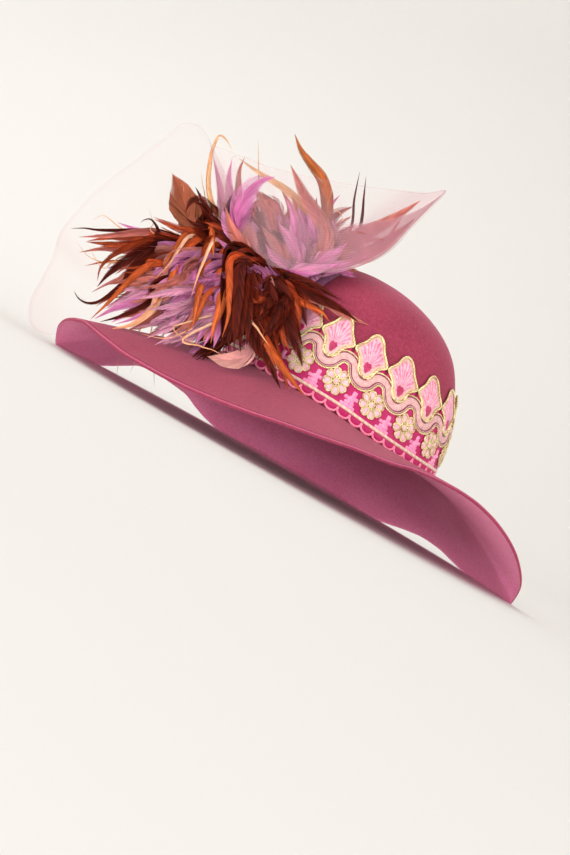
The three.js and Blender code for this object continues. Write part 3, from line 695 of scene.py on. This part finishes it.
# each bunch: its foot on the pad, then each feather's dye, width and roll in degrees, and x, y and z of the points
# that its quill passes on the way to the tip
spray = {
    "front": ((38, -95, 128), [
        ("dark", 11, 25, 52, -169, 112, 58, -178, 104, 65, -186, 94, 71, -192, 83, 79, -197, 69, 85, -199, 56),
        ("dark", 6, -20, 62, -176, 92, 71, -184, 68, 76, -188, 56, 80, -193, 46, 83, -200, 41, 86, -207, 41,
         88, -212, 44),
        ("orange", 5.5, 15, 70, -167, 95, 75, -175, 87, 80, -180, 75, 86, -183, 61, 92, -186, 47, 98, -190, 32),
        ("rust", 9, -15, 46, -170, 114, 44, -190, 107, 42, -209, 97, 40, -228, 83),
        ("mauve", 6, 20, 44, -178, 115, 45, -192, 111, 48, -214, 95, 50, -234, 82),
        ("dark", 4, 0, 40, -175, 118, 41, -197, 109, 42, -212, 101, 43, -225, 94, 43, -235, 90, 44, -243, 85),
        ("tan", 1.4, 0, 38, -181, 112, 26, -205, 105, 21, -216, 105, 15, -230, 107, 10, -237, 100),
        ("tan", 1, 0, 40, -188, 93, 31, -206, 77, 25, -223, 73, 20, -237, 78),
        ("tan", 1, 0, 45, -191, 85, 35, -207, 71, 30, -217, 74, 25, -227, 80),
        ("rust", 7, 30, 48, -175, 112, 52, -191, 101, 55, -199, 91, 58, -205, 80, 60, -207, 69, 62, -204, 60),
        ("mauve", 10, -25, 50, -170, 107, 54, -180, 97, 59, -188, 84, 64, -194, 71),
        ("rust", 8, 15, 50, -173, 109, 41, -198, 96, 34, -220, 86, 30, -230, 82),
        ("lilac", 10, -10, 70, -157, 91, 77, -161, 69, 82, -170, 58, 87, -180, 47, 92, -188, 34),
        ("dark", 7, 20, 74, -158, 85, 80, -159, 66, 88, -171, 47, 94, -183, 34),
        ("lilac", 8, -30, 76, -153, 87, 81, -154, 65, 85, -163, 49, 88, -173, 38),
        ("lilac", 11, 10, 72, -149, 89, 77, -151, 69, 80, -153, 56, 84, -159, 41),
        ("rust", 7, -10, 60, -166, 98, 67, -173, 76, 72, -179, 60, 76, -186, 47),
        ("mauve", 8, 20, 60, -168, 94, 66, -176, 76, 71, -183, 62, 74, -186, 52),
        ("orange", 5, 20, 50, -140, 128, 61, -161, 127, 71, -164, 106, 75, -164, 98, 78, -164, 91),
        ("orange", 6, -15, 52, -134, 127, 59, -150, 130, 68, -158, 109, 76, -155, 91, 84, -154, 74, 88, -155,
         63),
        ("cream", 2.6, 0, 52, -139, 126, 62, -158, 125, 69, -161, 112, 76, -161, 99, 84, -164, 83),
        ("dark", 4, 0, 46, -177, 114, 47, -183, 116, 49, -187, 119, 50, -193, 121, 51, -197, 118, 52, -198,
         115),
        ("tan", 0.9, 0, 46, -181, 113, 48, -190, 120, 50, -198, 127),
        ("mauve", 7, 30, 20, -168, 107, 9, -192, 96, -3, -219, 85, -12, -236, 73),
        ("rust", 6, -30, 10, -169, 104, -3, -193, 88, -14, -215, 76, -22, -228, 66),
        ("mauve", 7, -20, 0, -167, 102, -12, -186, 83, -23, -204, 64, -30, -214, 50),
        ("orange", 4, 10, 5, -170, 97, -13, -190, 65, -26, -205, 42),
        ("mauve", 9, 15, 40, -175, 110, 37, -187, 105, 33, -201, 97, 30, -211, 86),
        ("mauve", 12, 10, 62, -161, 100, 70, -169, 80, 77, -176, 63, 84, -184, 46),
        ("lilac", 13, -15, 66, -156, 96, 74, -160, 74, 80, -165, 57, 88, -176, 38),
        ("rust", 10, 15, 58, -166, 101, 63, -176, 85, 68, -183, 68, 74, -191, 49),
        ("mauve", 12, -5, 56, -168, 104, 61, -177, 90, 66, -186, 77, 70, -192, 63),
        ("cream", 7, 10, 78, -151, 85, 84, -155, 61, 88, -162, 44, 92, -174, 33),
        ("mauve", 11, 20, 74, -147, 85, 79, -150, 64, 82, -154, 51, 86, -164, 37),
        ("lilac", 12, 0, 54, -167, 108, 56, -178, 95, 58, -190, 84, 60, -202, 72),
        ("rust", 9, -20, 44, -173, 111, 44, -187, 102, 44, -201, 93, 44, -217, 84),
        ("mauve", 9, 10, 30, -170, 111, 24, -187, 106, 17, -207, 99, 10, -229, 91),
        ("lilac", 8, -10, 36, -174, 115, 34, -188, 112, 32, -202, 109, 30, -216, 107),
        ("dark", 8, 10, 70, -150, 87, 75, -155, 70, 80, -162, 55, 84, -173, 44),
        ("lilac", 14, 5, 70, -150, 106, 74, -149, 85, 77, -152, 66, 80, -155, 51),
        ("mauve", 13, -10, 68, -155, 107, 72, -157, 90, 75, -162, 75, 78, -168, 62),
        ("tan", 1.4, 0, -52, -165, 81, -64, -168, 43, -71, -173, 19, -78, -167, -1),
        ("tan", 1.6, 0, -50, -152, 79, -61, -149, 48, -69, -145, 26, -76, -136, 8),
        ("tan", 1, 0, -54, -161, 79, -68, -159, 42, -75, -160, 21, -80, -159, 8),
    ]),
    "top": ((34, -100, 147), [
        ("leaf", 20, 8, 52, -160, 134, 52, -169, 139, 52, -177, 145, 52, -186, 153, 52, -195, 159),
        ("dark", 14, -25, 58, -150, 133, 60, -154, 145, 63, -164, 151, 64, -171, 148, 66, -171, 138),
        ("dark", 9, 30, 46, -147, 140, 44, -158, 148, 42, -168, 155, 40, -176, 160),
        ("rust", 9, -30, 50, -148, 139, 46, -161, 146, 42, -174, 151, 40, -182, 152),
        ("tan", 3.6, 10, 50, -148, 150, 47, -166, 164, 45, -174, 180, 44, -177, 188),
        ("tan", 3.4, -10, 36, -150, 151, 33, -167, 164, 30, -178, 186, 29, -181, 199, 28, -181, 205, 27, -175,
         205, 26, -166, 200),
        ("tan", 1, 0, 44, -155, 150, 42, -169, 161, 40, -178, 172),
        ("lilac", 19, -12, 72, -130, 147, 72, -136, 157, 71, -137, 172, 70, -134, 185, 70, -125, 194),
        ("lilac", 9, 20, 38, -136, 152, 35, -149, 167, 32, -158, 180, 30, -163, 193),
        ("mauve", 7, -30, 30, -138, 158, 27, -147, 174, 24, -154, 188, 22, -156, 200),
        ("lilac", 8, 25, 30, -144, 154, 24, -157, 167, 18, -168, 179, 14, -177, 188),
        ("rust", 8, 10, 56, -148, 129, 61, -157, 129, 68, -167, 126, 72, -174, 123),
        ("orange", 6, -20, 60, -136, 138, 67, -147, 138, 73, -142, 130, 82, -134, 118),
        ("mauve", 12, 15, 40, -128, 149, 38, -131, 166, 37, -127, 177, 36, -117, 182),
        ("dark", 10, -5, 62, -148, 138, 66, -153, 136, 70, -160, 133, 74, -167, 134),
        ("dark", 13, 10, 66, -111, 132, 71, -123, 135, 75, -135, 137, 80, -146, 137),
        ("rust", 11, -15, 62, -111, 135, 67, -127, 138, 72, -142, 140, 76, -153, 138),
        ("dark", 14, 20, 60, -117, 136, 65, -131, 140, 70, -144, 144, 74, -155, 145),
        ("mauve", 12, -5, 72, -108, 130, 74, -120, 136, 76, -134, 144, 78, -145, 155),
        ("mauve", 11, 10, 66, -108, 135, 67, -119, 145, 67, -130, 156, 68, -139, 166),
        ("dark", 10, 0, 56, -121, 139, 57, -136, 147, 57, -147, 151, 58, -157, 154),
        ("lilac", 9, -10, 74, -108, 128, 75, -119, 128, 77, -131, 130, 78, -140, 132),
    ]),
    "back": ((30, -72, 158), [
        ("gold", 8.5, -15, 44, -75, 183, 42, -79, 194, 41, -86, 205, 39, -95, 214, 38, -106, 219, 36, -119,
         225, 34, -130, 234),
        ("mauve", 10, 15, 50, -66, 176, 50, -81, 186, 50, -96, 193, 50, -109, 202, 50, -120, 210),
        ("tan", 6, -20, 42, -73, 150, 39, -76, 171, 37, -86, 182, 36, -99, 189, 34, -114, 193, 32, -127, 194,
         30, -143, 195, 28, -159, 197),
        ("lilac", 10, 20, 52, -86, 144, 51, -88, 160, 49, -98, 177, 48, -110, 186),
        ("mauve", 9, -15, 46, -87, 144, 44, -105, 158, 41, -123, 170, 40, -131, 176),
        ("lilac", 9, 10, 40, -92, 148, 36, -105, 168, 32, -118, 178, 30, -130, 183),
        ("tan", 1, 0, 34, -127, 177, 31, -137, 190, 24, -153, 217),
        ("dark", 1.8, 0, 34, -55, 174, 33, -57, 195, 31, -65, 213, 30, -72, 234),
        ("dark", 2.2, 0, 28, -51, 176, 27, -48, 184, 25, -52, 202, 23, -60, 220, 22, -66, 234),
        ("tan", 1, 0, 40, -76, 181, 40, -77, 195, 40, -70, 198, 40, -61, 192),
        ("mauve", 10, 20, 26, -58, 162, 24, -49, 189, 22, -34, 211, 20, -20, 239),
        ("mauve", 6, -20, 26, -47, 168, 24, -26, 196, 23, -27, 207, 22, -26, 220),
        ("mauve", 8, 15, 24, -50, 165, 22, -30, 193, 21, -22, 210, 20, -17, 224),
        ("lilac", 11, -15, 40, -63, 152, 41, -61, 168, 41, -64, 180, 42, -72, 190),
        ("lilac", 12, 15, 44, -74, 143, 46, -73, 157, 48, -78, 172, 50, -90, 184),
        ("mauve", 12, -20, 30, -78, 150, 24, -77, 178, 19, -72, 198, 16, -64, 209),
        ("lilac", 10, 25, 46, -79, 140, 47, -80, 158, 49, -87, 173, 50, -99, 184),
        ("orange", 4, 0, 46, -75, 150, 45, -75, 165, 45, -78, 181, 44, -86, 192),
        ("lilac", 9, -10, 30, -63, 153, 29, -51, 166, 29, -40, 177, 28, -29, 187),
        ("mauve", 10, 0, 10, -85, 148, 4, -93, 171, -2, -106, 186, -6, -120, 195),
        ("lilac", 9, 0, 4, -79, 152, -3, -78, 177, -9, -81, 198, -14, -78, 215),
        ("mauve", 13, 5, 54, -63, 152, 53, -66, 166, 53, -71, 179, 52, -83, 190),
        ("lilac", 14, -10, 56, -74, 143, 56, -83, 154, 56, -95, 161, 56, -106, 166),
        ("mauve", 12, 10, 58, -81, 141, 58, -95, 149, 58, -107, 154, 58, -116, 158),
        ("lilac", 13, 0, 58, -66, 146, 58, -64, 156, 58, -57, 167, 58, -53, 178),
        ("mauve", 12, -15, 50, -61, 153, 47, -54, 170, 46, -51, 184, 44, -50, 195),
        ("lilac", 12, 15, 60, -75, 139, 61, -85, 140, 61, -96, 142, 62, -106, 147),
        ("mauve", 11, 0, 40, -80, 148, 38, -94, 160, 36, -110, 169, 34, -122, 175),
        ("mauve", 12, 10, 44, -75, 151, 43, -84, 167, 41, -97, 181, 40, -108, 191),
        ("lilac", 10, 5, 54, -70, 146, 52, -55, 156, 51, -44, 166, 50, -35, 177),
        ("lilac", 11, -5, 62, -81, 135, 63, -71, 144, 63, -60, 152, 64, -51, 161),
    ]),
    "fall": ((57, -74, 125), [
        ("orange", 7.5, 10, 60, -117, 126, 68, -133, 131, 72, -143, 126, 83, -134, 102, 91, -129, 85, 100,
         -121, 64),
        ("cream", 2.4, 0, 60, -121, 127, 72, -140, 131, 83, -139, 111, 92, -136, 95, 98, -133, 84),
        ("orange", 10, -12, 62, -114, 125, 70, -129, 133, 73, -129, 125, 82, -121, 109, 92, -111, 89, 100,
         -107, 72, 106, -103, 61),
        ("dark", 9, 20, 78, -123, 133, 84, -119, 111, 91, -107, 87, 98, -95, 62),
        ("dark", 10, -20, 80, -120, 133, 87, -113, 110, 94, -101, 86, 102, -89, 62),
        ("dark", 11, 15, 82, -114, 131, 88, -106, 110, 95, -94, 88, 102, -81, 66),
        ("dark", 10, -10, 80, -110, 131, 87, -100, 109, 95, -87, 88, 100, -79, 72),
        ("dark", 11, 25, 80, -104, 129, 86, -93, 109, 92, -80, 90, 98, -67, 74),
        ("orange", 9, -15, 82, -101, 117, 87, -90, 94, 91, -70, 82, 96, -45, 70, 100, -23, 61),
        ("dark", 13, 10, 84, -100, 113, 90, -78, 83, 94, -59, 70, 98, -42, 57),
        ("cream", 1.8, 0, 90, -87, 94, 94, -78, 87, 100, -64, 80),
        ("rust", 8, -25, 82, -87, 108, 87, -68, 88, 92, -52, 74, 96, -36, 59),
        ("dark", 14, 5, 74, -90, 128, 78, -74, 115, 83, -56, 97, 85, -46, 90, 88, -36, 80),
        ("mauve", 7, 15, 68, -74, 129, 68, -66, 126, 67, -46, 131, 67, -28, 130, 66, -8, 132),
        ("orange", 4.5, -10, 72, -75, 122, 74, -58, 122, 75, -44, 123, 76, -34, 119),
        ("dark", 9, -25, 62, -108, 125, 61, -89, 131, 61, -67, 132, 60, -48, 131),
        ("dark", 9, 20, 68, -99, 128, 68, -81, 129, 68, -60, 127, 68, -43, 124),
        ("mauve", 5, 0, 76, -99, 129, 79, -87, 122, 81, -82, 114, 84, -75, 100),
        ("cream", 1.8, 0, 58, -92, 133, 58, -80, 133, 58, -69, 137),
        ("dark", 6, -10, 70, -129, 127, 74, -132, 118, 80, -131, 103),
        ("curl", 11, 20, 66, -94, 105, 79, -83, 88, 89, -77, 74, 95, -76, 65, 104, -86, 56, 114, -99, 51),
        ("dark", 8, -10, 72, -97, 125, 71, -75, 130, 71, -54, 131, 70, -33, 132, 70, -15, 130),
        ("rust", 7, 12, 72, -95, 122, 72, -75, 124, 72, -57, 123, 72, -40, 119),
        ("dark", 8, 0, 74, -95, 119, 75, -76, 115, 77, -59, 107, 78, -44, 94),
        ("orange", 5, 8, 78, -95, 117, 80, -80, 108, 82, -65, 95, 84, -53, 84),
        ("dark", 7, 15, 70, -95, 128, 69, -76, 134, 67, -55, 138, 66, -36, 138),
        ("lilac", 12, 15, 74, -132, 116, 79, -130, 94, 84, -129, 73, 88, -131, 55),
        ("lilac", 12, -15, 72, -139, 112, 77, -140, 91, 82, -143, 71, 86, -146, 55),
        ("lilac", 13, 5, 78, -126, 112, 84, -119, 89, 89, -114, 71, 94, -113, 54),
        ("mauve", 9, 30, 74, -142, 110, 78, -145, 91, 81, -150, 76, 84, -157, 61),
        ("lilac", 10, -25, 80, -119, 103, 86, -112, 83, 90, -108, 67, 94, -107, 55),
        ("cream", 1.4, 0, 96, -125, 67, 100, -133, 57, 104, -122, 54, 108, -111, 56),
        ("cream", 1, 0, 92, -123, 61, 98, -135, 47, 104, -152, 41),
        ("cream", 1.8, 0, 100, -121, 57, 106, -109, 55, 110, -99, 57, 114, -91, 57),
        ("orange", 4, 10, 88, -121, 97, 95, -122, 72, 100, -124, 55),
        ("mauve", 8, -10, 84, -121, 89, 91, -125, 67, 96, -133, 50),
        ("rust", 7, 15, 76, -87, 117, 81, -71, 102, 86, -57, 90, 88, -49, 84),
        ("dark", 12, 5, 70, -99, 130, 73, -108, 128, 75, -116, 125, 78, -123, 120),
        ("dark", 12, -10, 82, -105, 125, 87, -94, 103, 92, -81, 83, 96, -69, 69),
        ("dark", 11, 15, 84, -115, 125, 91, -106, 101, 96, -100, 81, 100, -97, 67),
        ("dark", 8, -5, 88, -112, 126, 95, -102, 99, 100, -93, 80, 104, -86, 65),
        ("orange", 5, 10, 90, -120, 127, 96, -111, 102, 100, -102, 85, 104, -98, 69),
        ("dark", 13, 0, 78, -95, 123, 82, -85, 104, 86, -71, 87, 90, -58, 72),
        ("dark", 9, 15, 80, -88, 123, 84, -76, 105, 88, -65, 89, 92, -55, 76),
        ("dark", 11, -15, 70, -86, 128, 71, -73, 127, 73, -60, 119, 74, -48, 108),
        ("rust", 10, 10, 72, -91, 127, 73, -75, 124, 75, -62, 116, 76, -51, 103),
        ("dark", 10, 5, 64, -99, 129, 64, -85, 131, 64, -70, 131, 64, -58, 127),
        ("lilac", 14, -20, 72, -128, 118, 78, -128, 97, 84, -126, 77, 90, -122, 58),
        ("lilac", 14, 10, 70, -136, 117, 75, -137, 98, 80, -138, 79, 86, -138, 56),
        ("mauve", 13, -5, 76, -122, 115, 82, -118, 94, 87, -113, 76, 92, -109, 59),
        ("lilac", 13, 15, 82, -114, 105, 88, -109, 87, 93, -104, 72, 98, -100, 59),
        ("dark", 9, 0, 80, -122, 97, 86, -124, 76, 90, -128, 62, 94, -135, 52),
    ]),
}


def feather(rng, dye, width, roll, quill, fluffy=0.0):
    """One feather: barbs leave the quill on both sides, lean to the tip by an angle that closes from 38 to 12 degrees,
    and end at the blade's width, so the tip is a point; each barb is a strip of two faces that narrows to its end and
    lies half over the next. Returns the points, faces and colours."""
    steps, shaft_steps, shaft_sides = 80, 14, 5
    line = smooth_line(quill, steps)
    length = np.linalg.norm(np.diff(line, axis=0), axis=1).sum()
    along = np.gradient(line, axis=0)
    along /= np.linalg.norm(along, axis=1, keepdims=True)
    flat = np.cross([1.0, 0, 0], along)
    flat /= np.linalg.norm(flat, axis=1, keepdims=True)
    face = np.cross(flat, along)
    turn = np.radians(roll + np.linspace(-12, 12, steps) * rng.uniform(-1, 1))[:, None]
    flat, face = flat * np.cos(turn) + face * np.sin(turn), face * np.cos(turn) - flat * np.sin(turn)

    def on_quill(table, at):
        return np.stack([np.interp(at * (steps - 1), np.arange(steps), column) for column in table.T], -1)

    downy = fluffy > 0.3
    spacing = 0.36 if downy else min(0.5 + 0.03 * width, 0.78)
    count = max(int(length * 0.97 / spacing), 12)
    end = np.tile(np.linspace(0.04, 1.0, count), 2)
    side = np.repeat([1.0, -1.0], count)
    at_share, at_width, open_by = blade.get(dye, hackle)
    reach = np.interp(end, at_share, at_width) * width / 2
    lock = np.repeat(rng.uniform(0.96 - fluffy, 1.02, 2 * count // 9 + 1), 9)[: 2 * count]
    reach = reach * (lock + fluffy * rng.uniform(-0.3, 0.8, 2 * count)) + 0.06
    lean = open_by * np.interp(end, [0, 0.4, 1], [38, 22, 12]) + 12 * downy
    lean = np.radians(lean + rng.normal(0, 0.6 + 16 * fluffy, 2 * count))
    u = np.maximum(end - reach / np.tan(np.maximum(lean, 0.12)) / length, 0)
    v = np.array([0, 0.5, 1.0])[None, :]
    cup = 0.22 + 0.16 * rng.uniform(-1, 1)
    step = np.maximum(np.gradient(u.reshape(2, -1), axis=1).ravel() * length, spacing)[:, None]
    half = (step * [0.8, 0.5, 0] + np.array([0.1, 0.45, 0.42 if open_by == 1 else 1.3]) * spacing) / length
    if downy:
        half = np.array([0.3, 0.22, 0.08]) / length
        reach = reach * np.minimum(end / 0.35, 1)
    rows = []
    for edge in (-1, 1):
        at = u[:, None] + (end - u)[:, None] * v**1.25 + edge * half
        beyond = np.maximum(at - 1, 0)[..., None] * length
        out = (side * reach)[:, None] * v
        lift = -cup * (reach[:, None] * v) ** 2 / max(width / 2, 1)
        lift = lift + rng.normal(0, 0.03 + 1.6 * fluffy, (2 * count, 1)) * v + edge * 0.05
        raised = on_quill(face, at) * lift[..., None]
        rows.append(on_quill(line, at) + on_quill(along, at) * beyond + on_quill(flat, at) * out[..., None] + raised)
    points = np.stack(rows, 2).reshape(-1, 3)
    start = np.arange(2 * count)[:, None] * 6
    faces = np.concatenate([start + [[0, 2, 3, 1]], start + [[2, 4, 5, 3]]])
    root, middle, tip, barb = (np.array(paint(*c)) for c in dyes[dye])
    k = (0.4 * u + 0.6 * end)[:, None, None]
    body = np.where(k < 0.5, root + (middle - root) * (k / 0.5) ** 1.5, middle + (tip - middle) * (k - 0.5) / 0.5)
    shade_side = 1 + np.where(side * rng.choice([-1, 1]) > 0, -0.15, 0.08)[:, None, None] * (not downy)
    tone = body * shade_side + (barb - body) * (v**2)[..., None] * 0.6
    contrast = 0.06 if downy else {"dark": 0.5, "rust": 0.34, "orange": 0.28}.get(dye, 0.17)
    streak = np.repeat(1 + contrast * rng.uniform(-1, 1, 2 * count // 3 + 1), 3)[: 2 * count, None, None]
    tone = tone * streak * rng.uniform(0.92, 1.06, (2 * count, 1, 1)) * rng.uniform(0.85, 1.12)
    tones = np.repeat(tone, 2, axis=1).reshape(-1, 3)
    at = np.linspace(0, 0.99, shaft_steps)
    centre, out, up = on_quill(line, at), on_quill(flat, at), on_quill(face, at)
    girth = (0.14 + 0.025 * width) * (1.15 - at)[:, None, None]
    angle = np.linspace(0, 2 * np.pi, shaft_sides, endpoint=False)[None, :, None]
    shaft = centre[:, None] + girth * (np.cos(angle) * out[:, None] + np.sin(angle) * up[:, None])
    shaft_faces = grid_faces(shaft_steps, shaft_sides, False, True) + len(points)
    pale = np.where(at[:, None] < 0.5, root * 1.2 + (middle - root) * at[:, None] * 1.8, middle * 0.8 + barb * 0.2)
    return (
        np.vstack([points, shaft.reshape(-1, 3)]),
        np.vstack([faces, shaft_faces]),
        np.vstack([tones, np.repeat(pale, shaft_sides, axis=0)]),
    )


# each bunch: its slot, and the colour of its faint sheen
looks = {
    "front": ("feather_brown", (240, 180, 190)),
    "top": ("feather_rust", (240, 190, 170)),
    "back": ("feather_lilac", (240, 190, 220)),
    "fall": ("feather_rust", (240, 170, 120)),
}
# soft filling feathers: dye, how many, the middle of their spread, its size, and their width
filling = {
    "front": [
        ("down", 4, (46, -150, 98), (14, 30, 24), 10), ("mauve", 12, (42, -155, 108), (18, 36, 22), 10),
        ("rust", 14, (44, -156, 112), (18, 34, 20), 8), ("dark", 12, (52, -150, 98), (16, 34, 22), 9),
        ("mauve", 12, (78, -170, 56), (10, 24, 16), 10), ("ribbon", 12, (82, -164, 54), (10, 22, 14), 11),
        ("rust", 7, (76, -172, 60), (10, 24, 16), 9),
    ],
    "top": [
        ("mauve", 10, (40, -122, 165), (16, 22, 18), 10), ("dark", 12, (46, -132, 156), (12, 22, 14), 11),
        ("dark", 8, (58, -120, 142), (5, 14, 10), 10), ("lilac", 6, (34, -106, 175), (16, 20, 16), 10),
        ("rust", 8, (48, -132, 156), (12, 22, 12), 9),
    ],
    "back": [("lilac", 9, (34, -64, 176), (16, 34, 16), 11), ("mauve", 32, (28, -62, 184), (16, 36, 18), 10)],
    "fall": [
        ("dark", 36, (86, -86, 82), (10, 20, 18), 11), ("rust", 6, (80, -82, 84), (12, 24, 18), 9),
        ("down", 22, (80, -130, 80), (8, 18, 20), 13), ("ribbon", 18, (92, -138, 48), (6, 22, 12), 12),
        ("lilac", 10, (86, -128, 52), (8, 22, 12), 12), ("dark", 10, (88, -116, 48), (8, 16, 10), 9),
    ],
}
rng = np.random.default_rng(11)
for group, (root, rows) in spray.items():
    parts = []
    for dye, width, roll, *quill in rows:
        start = root + rng.normal(0, 3, 3)
        parts.append(feather(rng, dye, width * 1.25, roll, np.vstack([start, np.reshape(quill, (-1, 3))])))
    for dye, count, middle, spread, width in filling[group]:
        soft = 0.5 if dye == "down" else 0.12
        for _ in range(count):
            tip = middle + np.array(spread) * rng.uniform(-1, 1, 3)
            start = root + rng.normal(0, 4, 3)
            bend = (start + tip) / 2 + rng.normal(0, 4, 3) + [4, 0, 4]
            wide, roll = width * rng.uniform(0.8, 1.25), rng.uniform(-40, 40)
            parts.append(feather(rng, dye, wide, roll, [start, bend, tip], soft))
    # short feathers that hide the pad
    for _ in range(44 if group == "front" else 0):
        direction, rise = pad_from + pad_turn * rng.uniform(), 0.5 + 0.34 * rng.uniform()
        start = crown_point(direction, rise, 8)
        tip = crown_point(direction - 3 + rng.uniform(-9, 9), rise - rng.uniform(0.16, 0.42), rng.uniform(14, 34))
        dye = ("mauve", "rust", "dark", "mauve", "orange")[rng.integers(5)]
        bend = (start + tip) / 2 + [2, -5, 3]
        parts.append(feather(rng, dye, 7, rng.uniform(-40, 40), [start, bend, tip], 0.1))
    points, faces, tones = joined(parts)
    bunch = new_mesh("feathers_" + group, points, faces)
    layer = bunch.data.attributes.new("dye", "FLOAT_COLOR", "POINT")
    opaque = np.hstack([np.clip(tones, 0, 1), np.ones((len(tones), 1))])
    layer.data.foreach_set("color", opaque.astype(np.float32).ravel())
    slot, sheen = looks[group]
    coque, shade = finish_named(
        "coque_" + group, Roughness=0.5, Specular_IOR_Level=0.06, Sheen_Weight=0.01, Sheen_Tint=(*paint(*sheen), 1),
    )
    uneven = {"Value": shade.noise(120, 3) * 0.6 + 0.72, "Color": shade.attribute("dye", 0)}
    connect(coque, Base_Color=shade.node("HueSaturation", uneven))
    finished(bunch, coque, "plume_" + group)


# The nets: two lengths of stiff pale pink millinery net, cut straight with their edges left unhemmed. Each is gathered
# at the feather pad and stands in a loop: the first out to the front and back over the feathers in a pleated fold, the
# second up over the crown, folded double over the feathers' feet.
# each layer: the two curves that it spans, its bulge to the wearer's left, and its pleats
net_layers = {
    "front": [
        ([[28, -92, 120], [20, -94, 140]],
         [[8, -217, 7], [-6, -226, 3], [-14, -237, 2], [-20, -246, 6], [-24, -253, 20], [-25, -254, 40],
          [-25, -255, 60], [-24, -259, 79], [-22, -256, 100], [-18, -248, 128], [-14, -236, 154], [-8, -223, 183],
          [-2, -215, 200], [3, -205, 206], [18, -196, 204], [40, -185, 197], [54, -171, 181], [64, -151, 155],
          [66, -130, 125]], -9, 5),
    ],
    "back": [
        ([[16, -84, 144], [14, -66, 153]],
         [[14, -146, 172], [13, -165, 194], [12, -158, 202], [8, -136, 205], [4, -109, 213], [0, -79, 224],
          [-3, -45, 238], [-4, -20, 249], [-4, -6, 259], [-2, -9, 242], [0, -15, 219], [3, -20, 197], [6, -29, 180],
          [9, -39, 174]], -9, 6),
        ([[66, -130, 125], [71, -117, 124], [73, -99, 130], [72, -78, 138], [67, -57, 148], [56, -39, 162],
          [40, -23, 187], [18, -15, 221], [-3, -6, 258]],
         [[44, -182, 194], [58, -164, 196], [60, -143, 198], [56, -121, 204], [46, -94, 213], [36, -72, 222],
          [24, -48, 233], [10, -25, 246], [-4, -6, 259]], 5, 7),
    ],
}


def net_density(name, k, along, out):
    """How much of the light a layer keeps back, from the share along its curves and the share out between them: dense
    in pleated folds and where it lies double, and a little more along its cut edge and where it is gathered."""
    def step(low, high, x):
        t = np.clip((x - low) / (high - low), 0, 1)
        return t * t * (3 - 2 * t)

    def near(middle, spread):
        return np.exp(-(((along - middle) / spread) ** 2))

    gathered = 0.16 * np.exp(-out * 9) + 0.16 * (out > 0.985)
    if name == "front":
        fold = step(0.66, 0.9, along)
        pleats = 0.5 + 0.5 * np.sin(out * 42 + 5 * along)
        crease = 0.12 * near(0.3 * out - 0.02, 0.025) * step(0.55, 0.8, out)
        corner = 0.09 * near(0.13, 0.08) * step(0.75, 1, out)
        sheer = 0.035 + 0.05 * np.exp(-along * 14) + 0.05 * out**14
        return sheer + crease + corner + gathered + fold * (0.12 + step(0.3, 0.8, out) * (0.3 + 0.16 * pleats))
    if k == 0:
        return 0.04 + 0.3 * step(0.5, 0.62, along) + gathered
    double_to = np.interp(along, [0.4, 0.62, 0.95], [0.5, 0.47, 0.2])
    double = step(0.42, 0.56, along) * (1 - step(-0.035, 0.035, out - double_to))
    middle = (1 - step(0.44, 0.62, along)) * (0.24 - 0.19 * step(0.35 + 0.4 * (along < 0.12), 1, out))
    pleats = 0.5 + 0.5 * np.sin(along * 95 + 4 * out)
    return 0.04 + middle * (0.75 + 0.5 * pleats) + 0.72 * double + gathered * 0.5


columns, rows = 160, 50
for name, layers in net_layers.items():
    parts = []
    for k, (foot, edge, bulge, folds) in enumerate(layers):
        along, out = np.meshgrid(np.linspace(0, 1, columns), np.linspace(0.02, 1, rows), indexing="ij")
        low, high = smooth_line(foot, columns)[:, None], smooth_line(edge, columns)[:, None]
        net_points = low + (high - low) * out[..., None]
        fold = 2.2 * np.sin(along * folds * 2 * np.pi) * out * (1.15 - out)
        fold = fold + 0.8 * np.sin(along * folds * 6 * np.pi + 2) * out * (1 - out)
        net_points[..., 0] += bulge * np.sin(np.pi * out) + fold
        rib = out * 1.3 if name == "front" else (along, out * 0.4)[k]
        values = np.stack([net_density(name, k, along, out), rib], -1)
        parts.append((net_points.reshape(-1, 3), grid_faces(columns, rows), values.reshape(-1, 2)))
    net_points, net_faces, values = joined(parts)
    net = new_mesh("net_loop_" + name, net_points, net_faces)
    set_values(net, "cover", values[:, 0])
    set_values(net, "rib", values[:, 1])
    tulle, shade = finish_named("pale_pink_net_" + name, Roughness=0.7, Specular_IOR_Level=0.2)
    line = (shade.attribute("rib") * 620).wave()
    kept = shade.attribute("cover") * (line * 0.3 + shade.noise(22, 2) * 0.5 + 0.6)
    pink = (kept * 1.4 + line * 0.3 - 0.12).mixed(paint(224, 184, 190), paint(168, 110, 118))
    connect(tulle, Alpha=kept, Base_Color=pink)
    finished(net, tulle, "net_" + name)
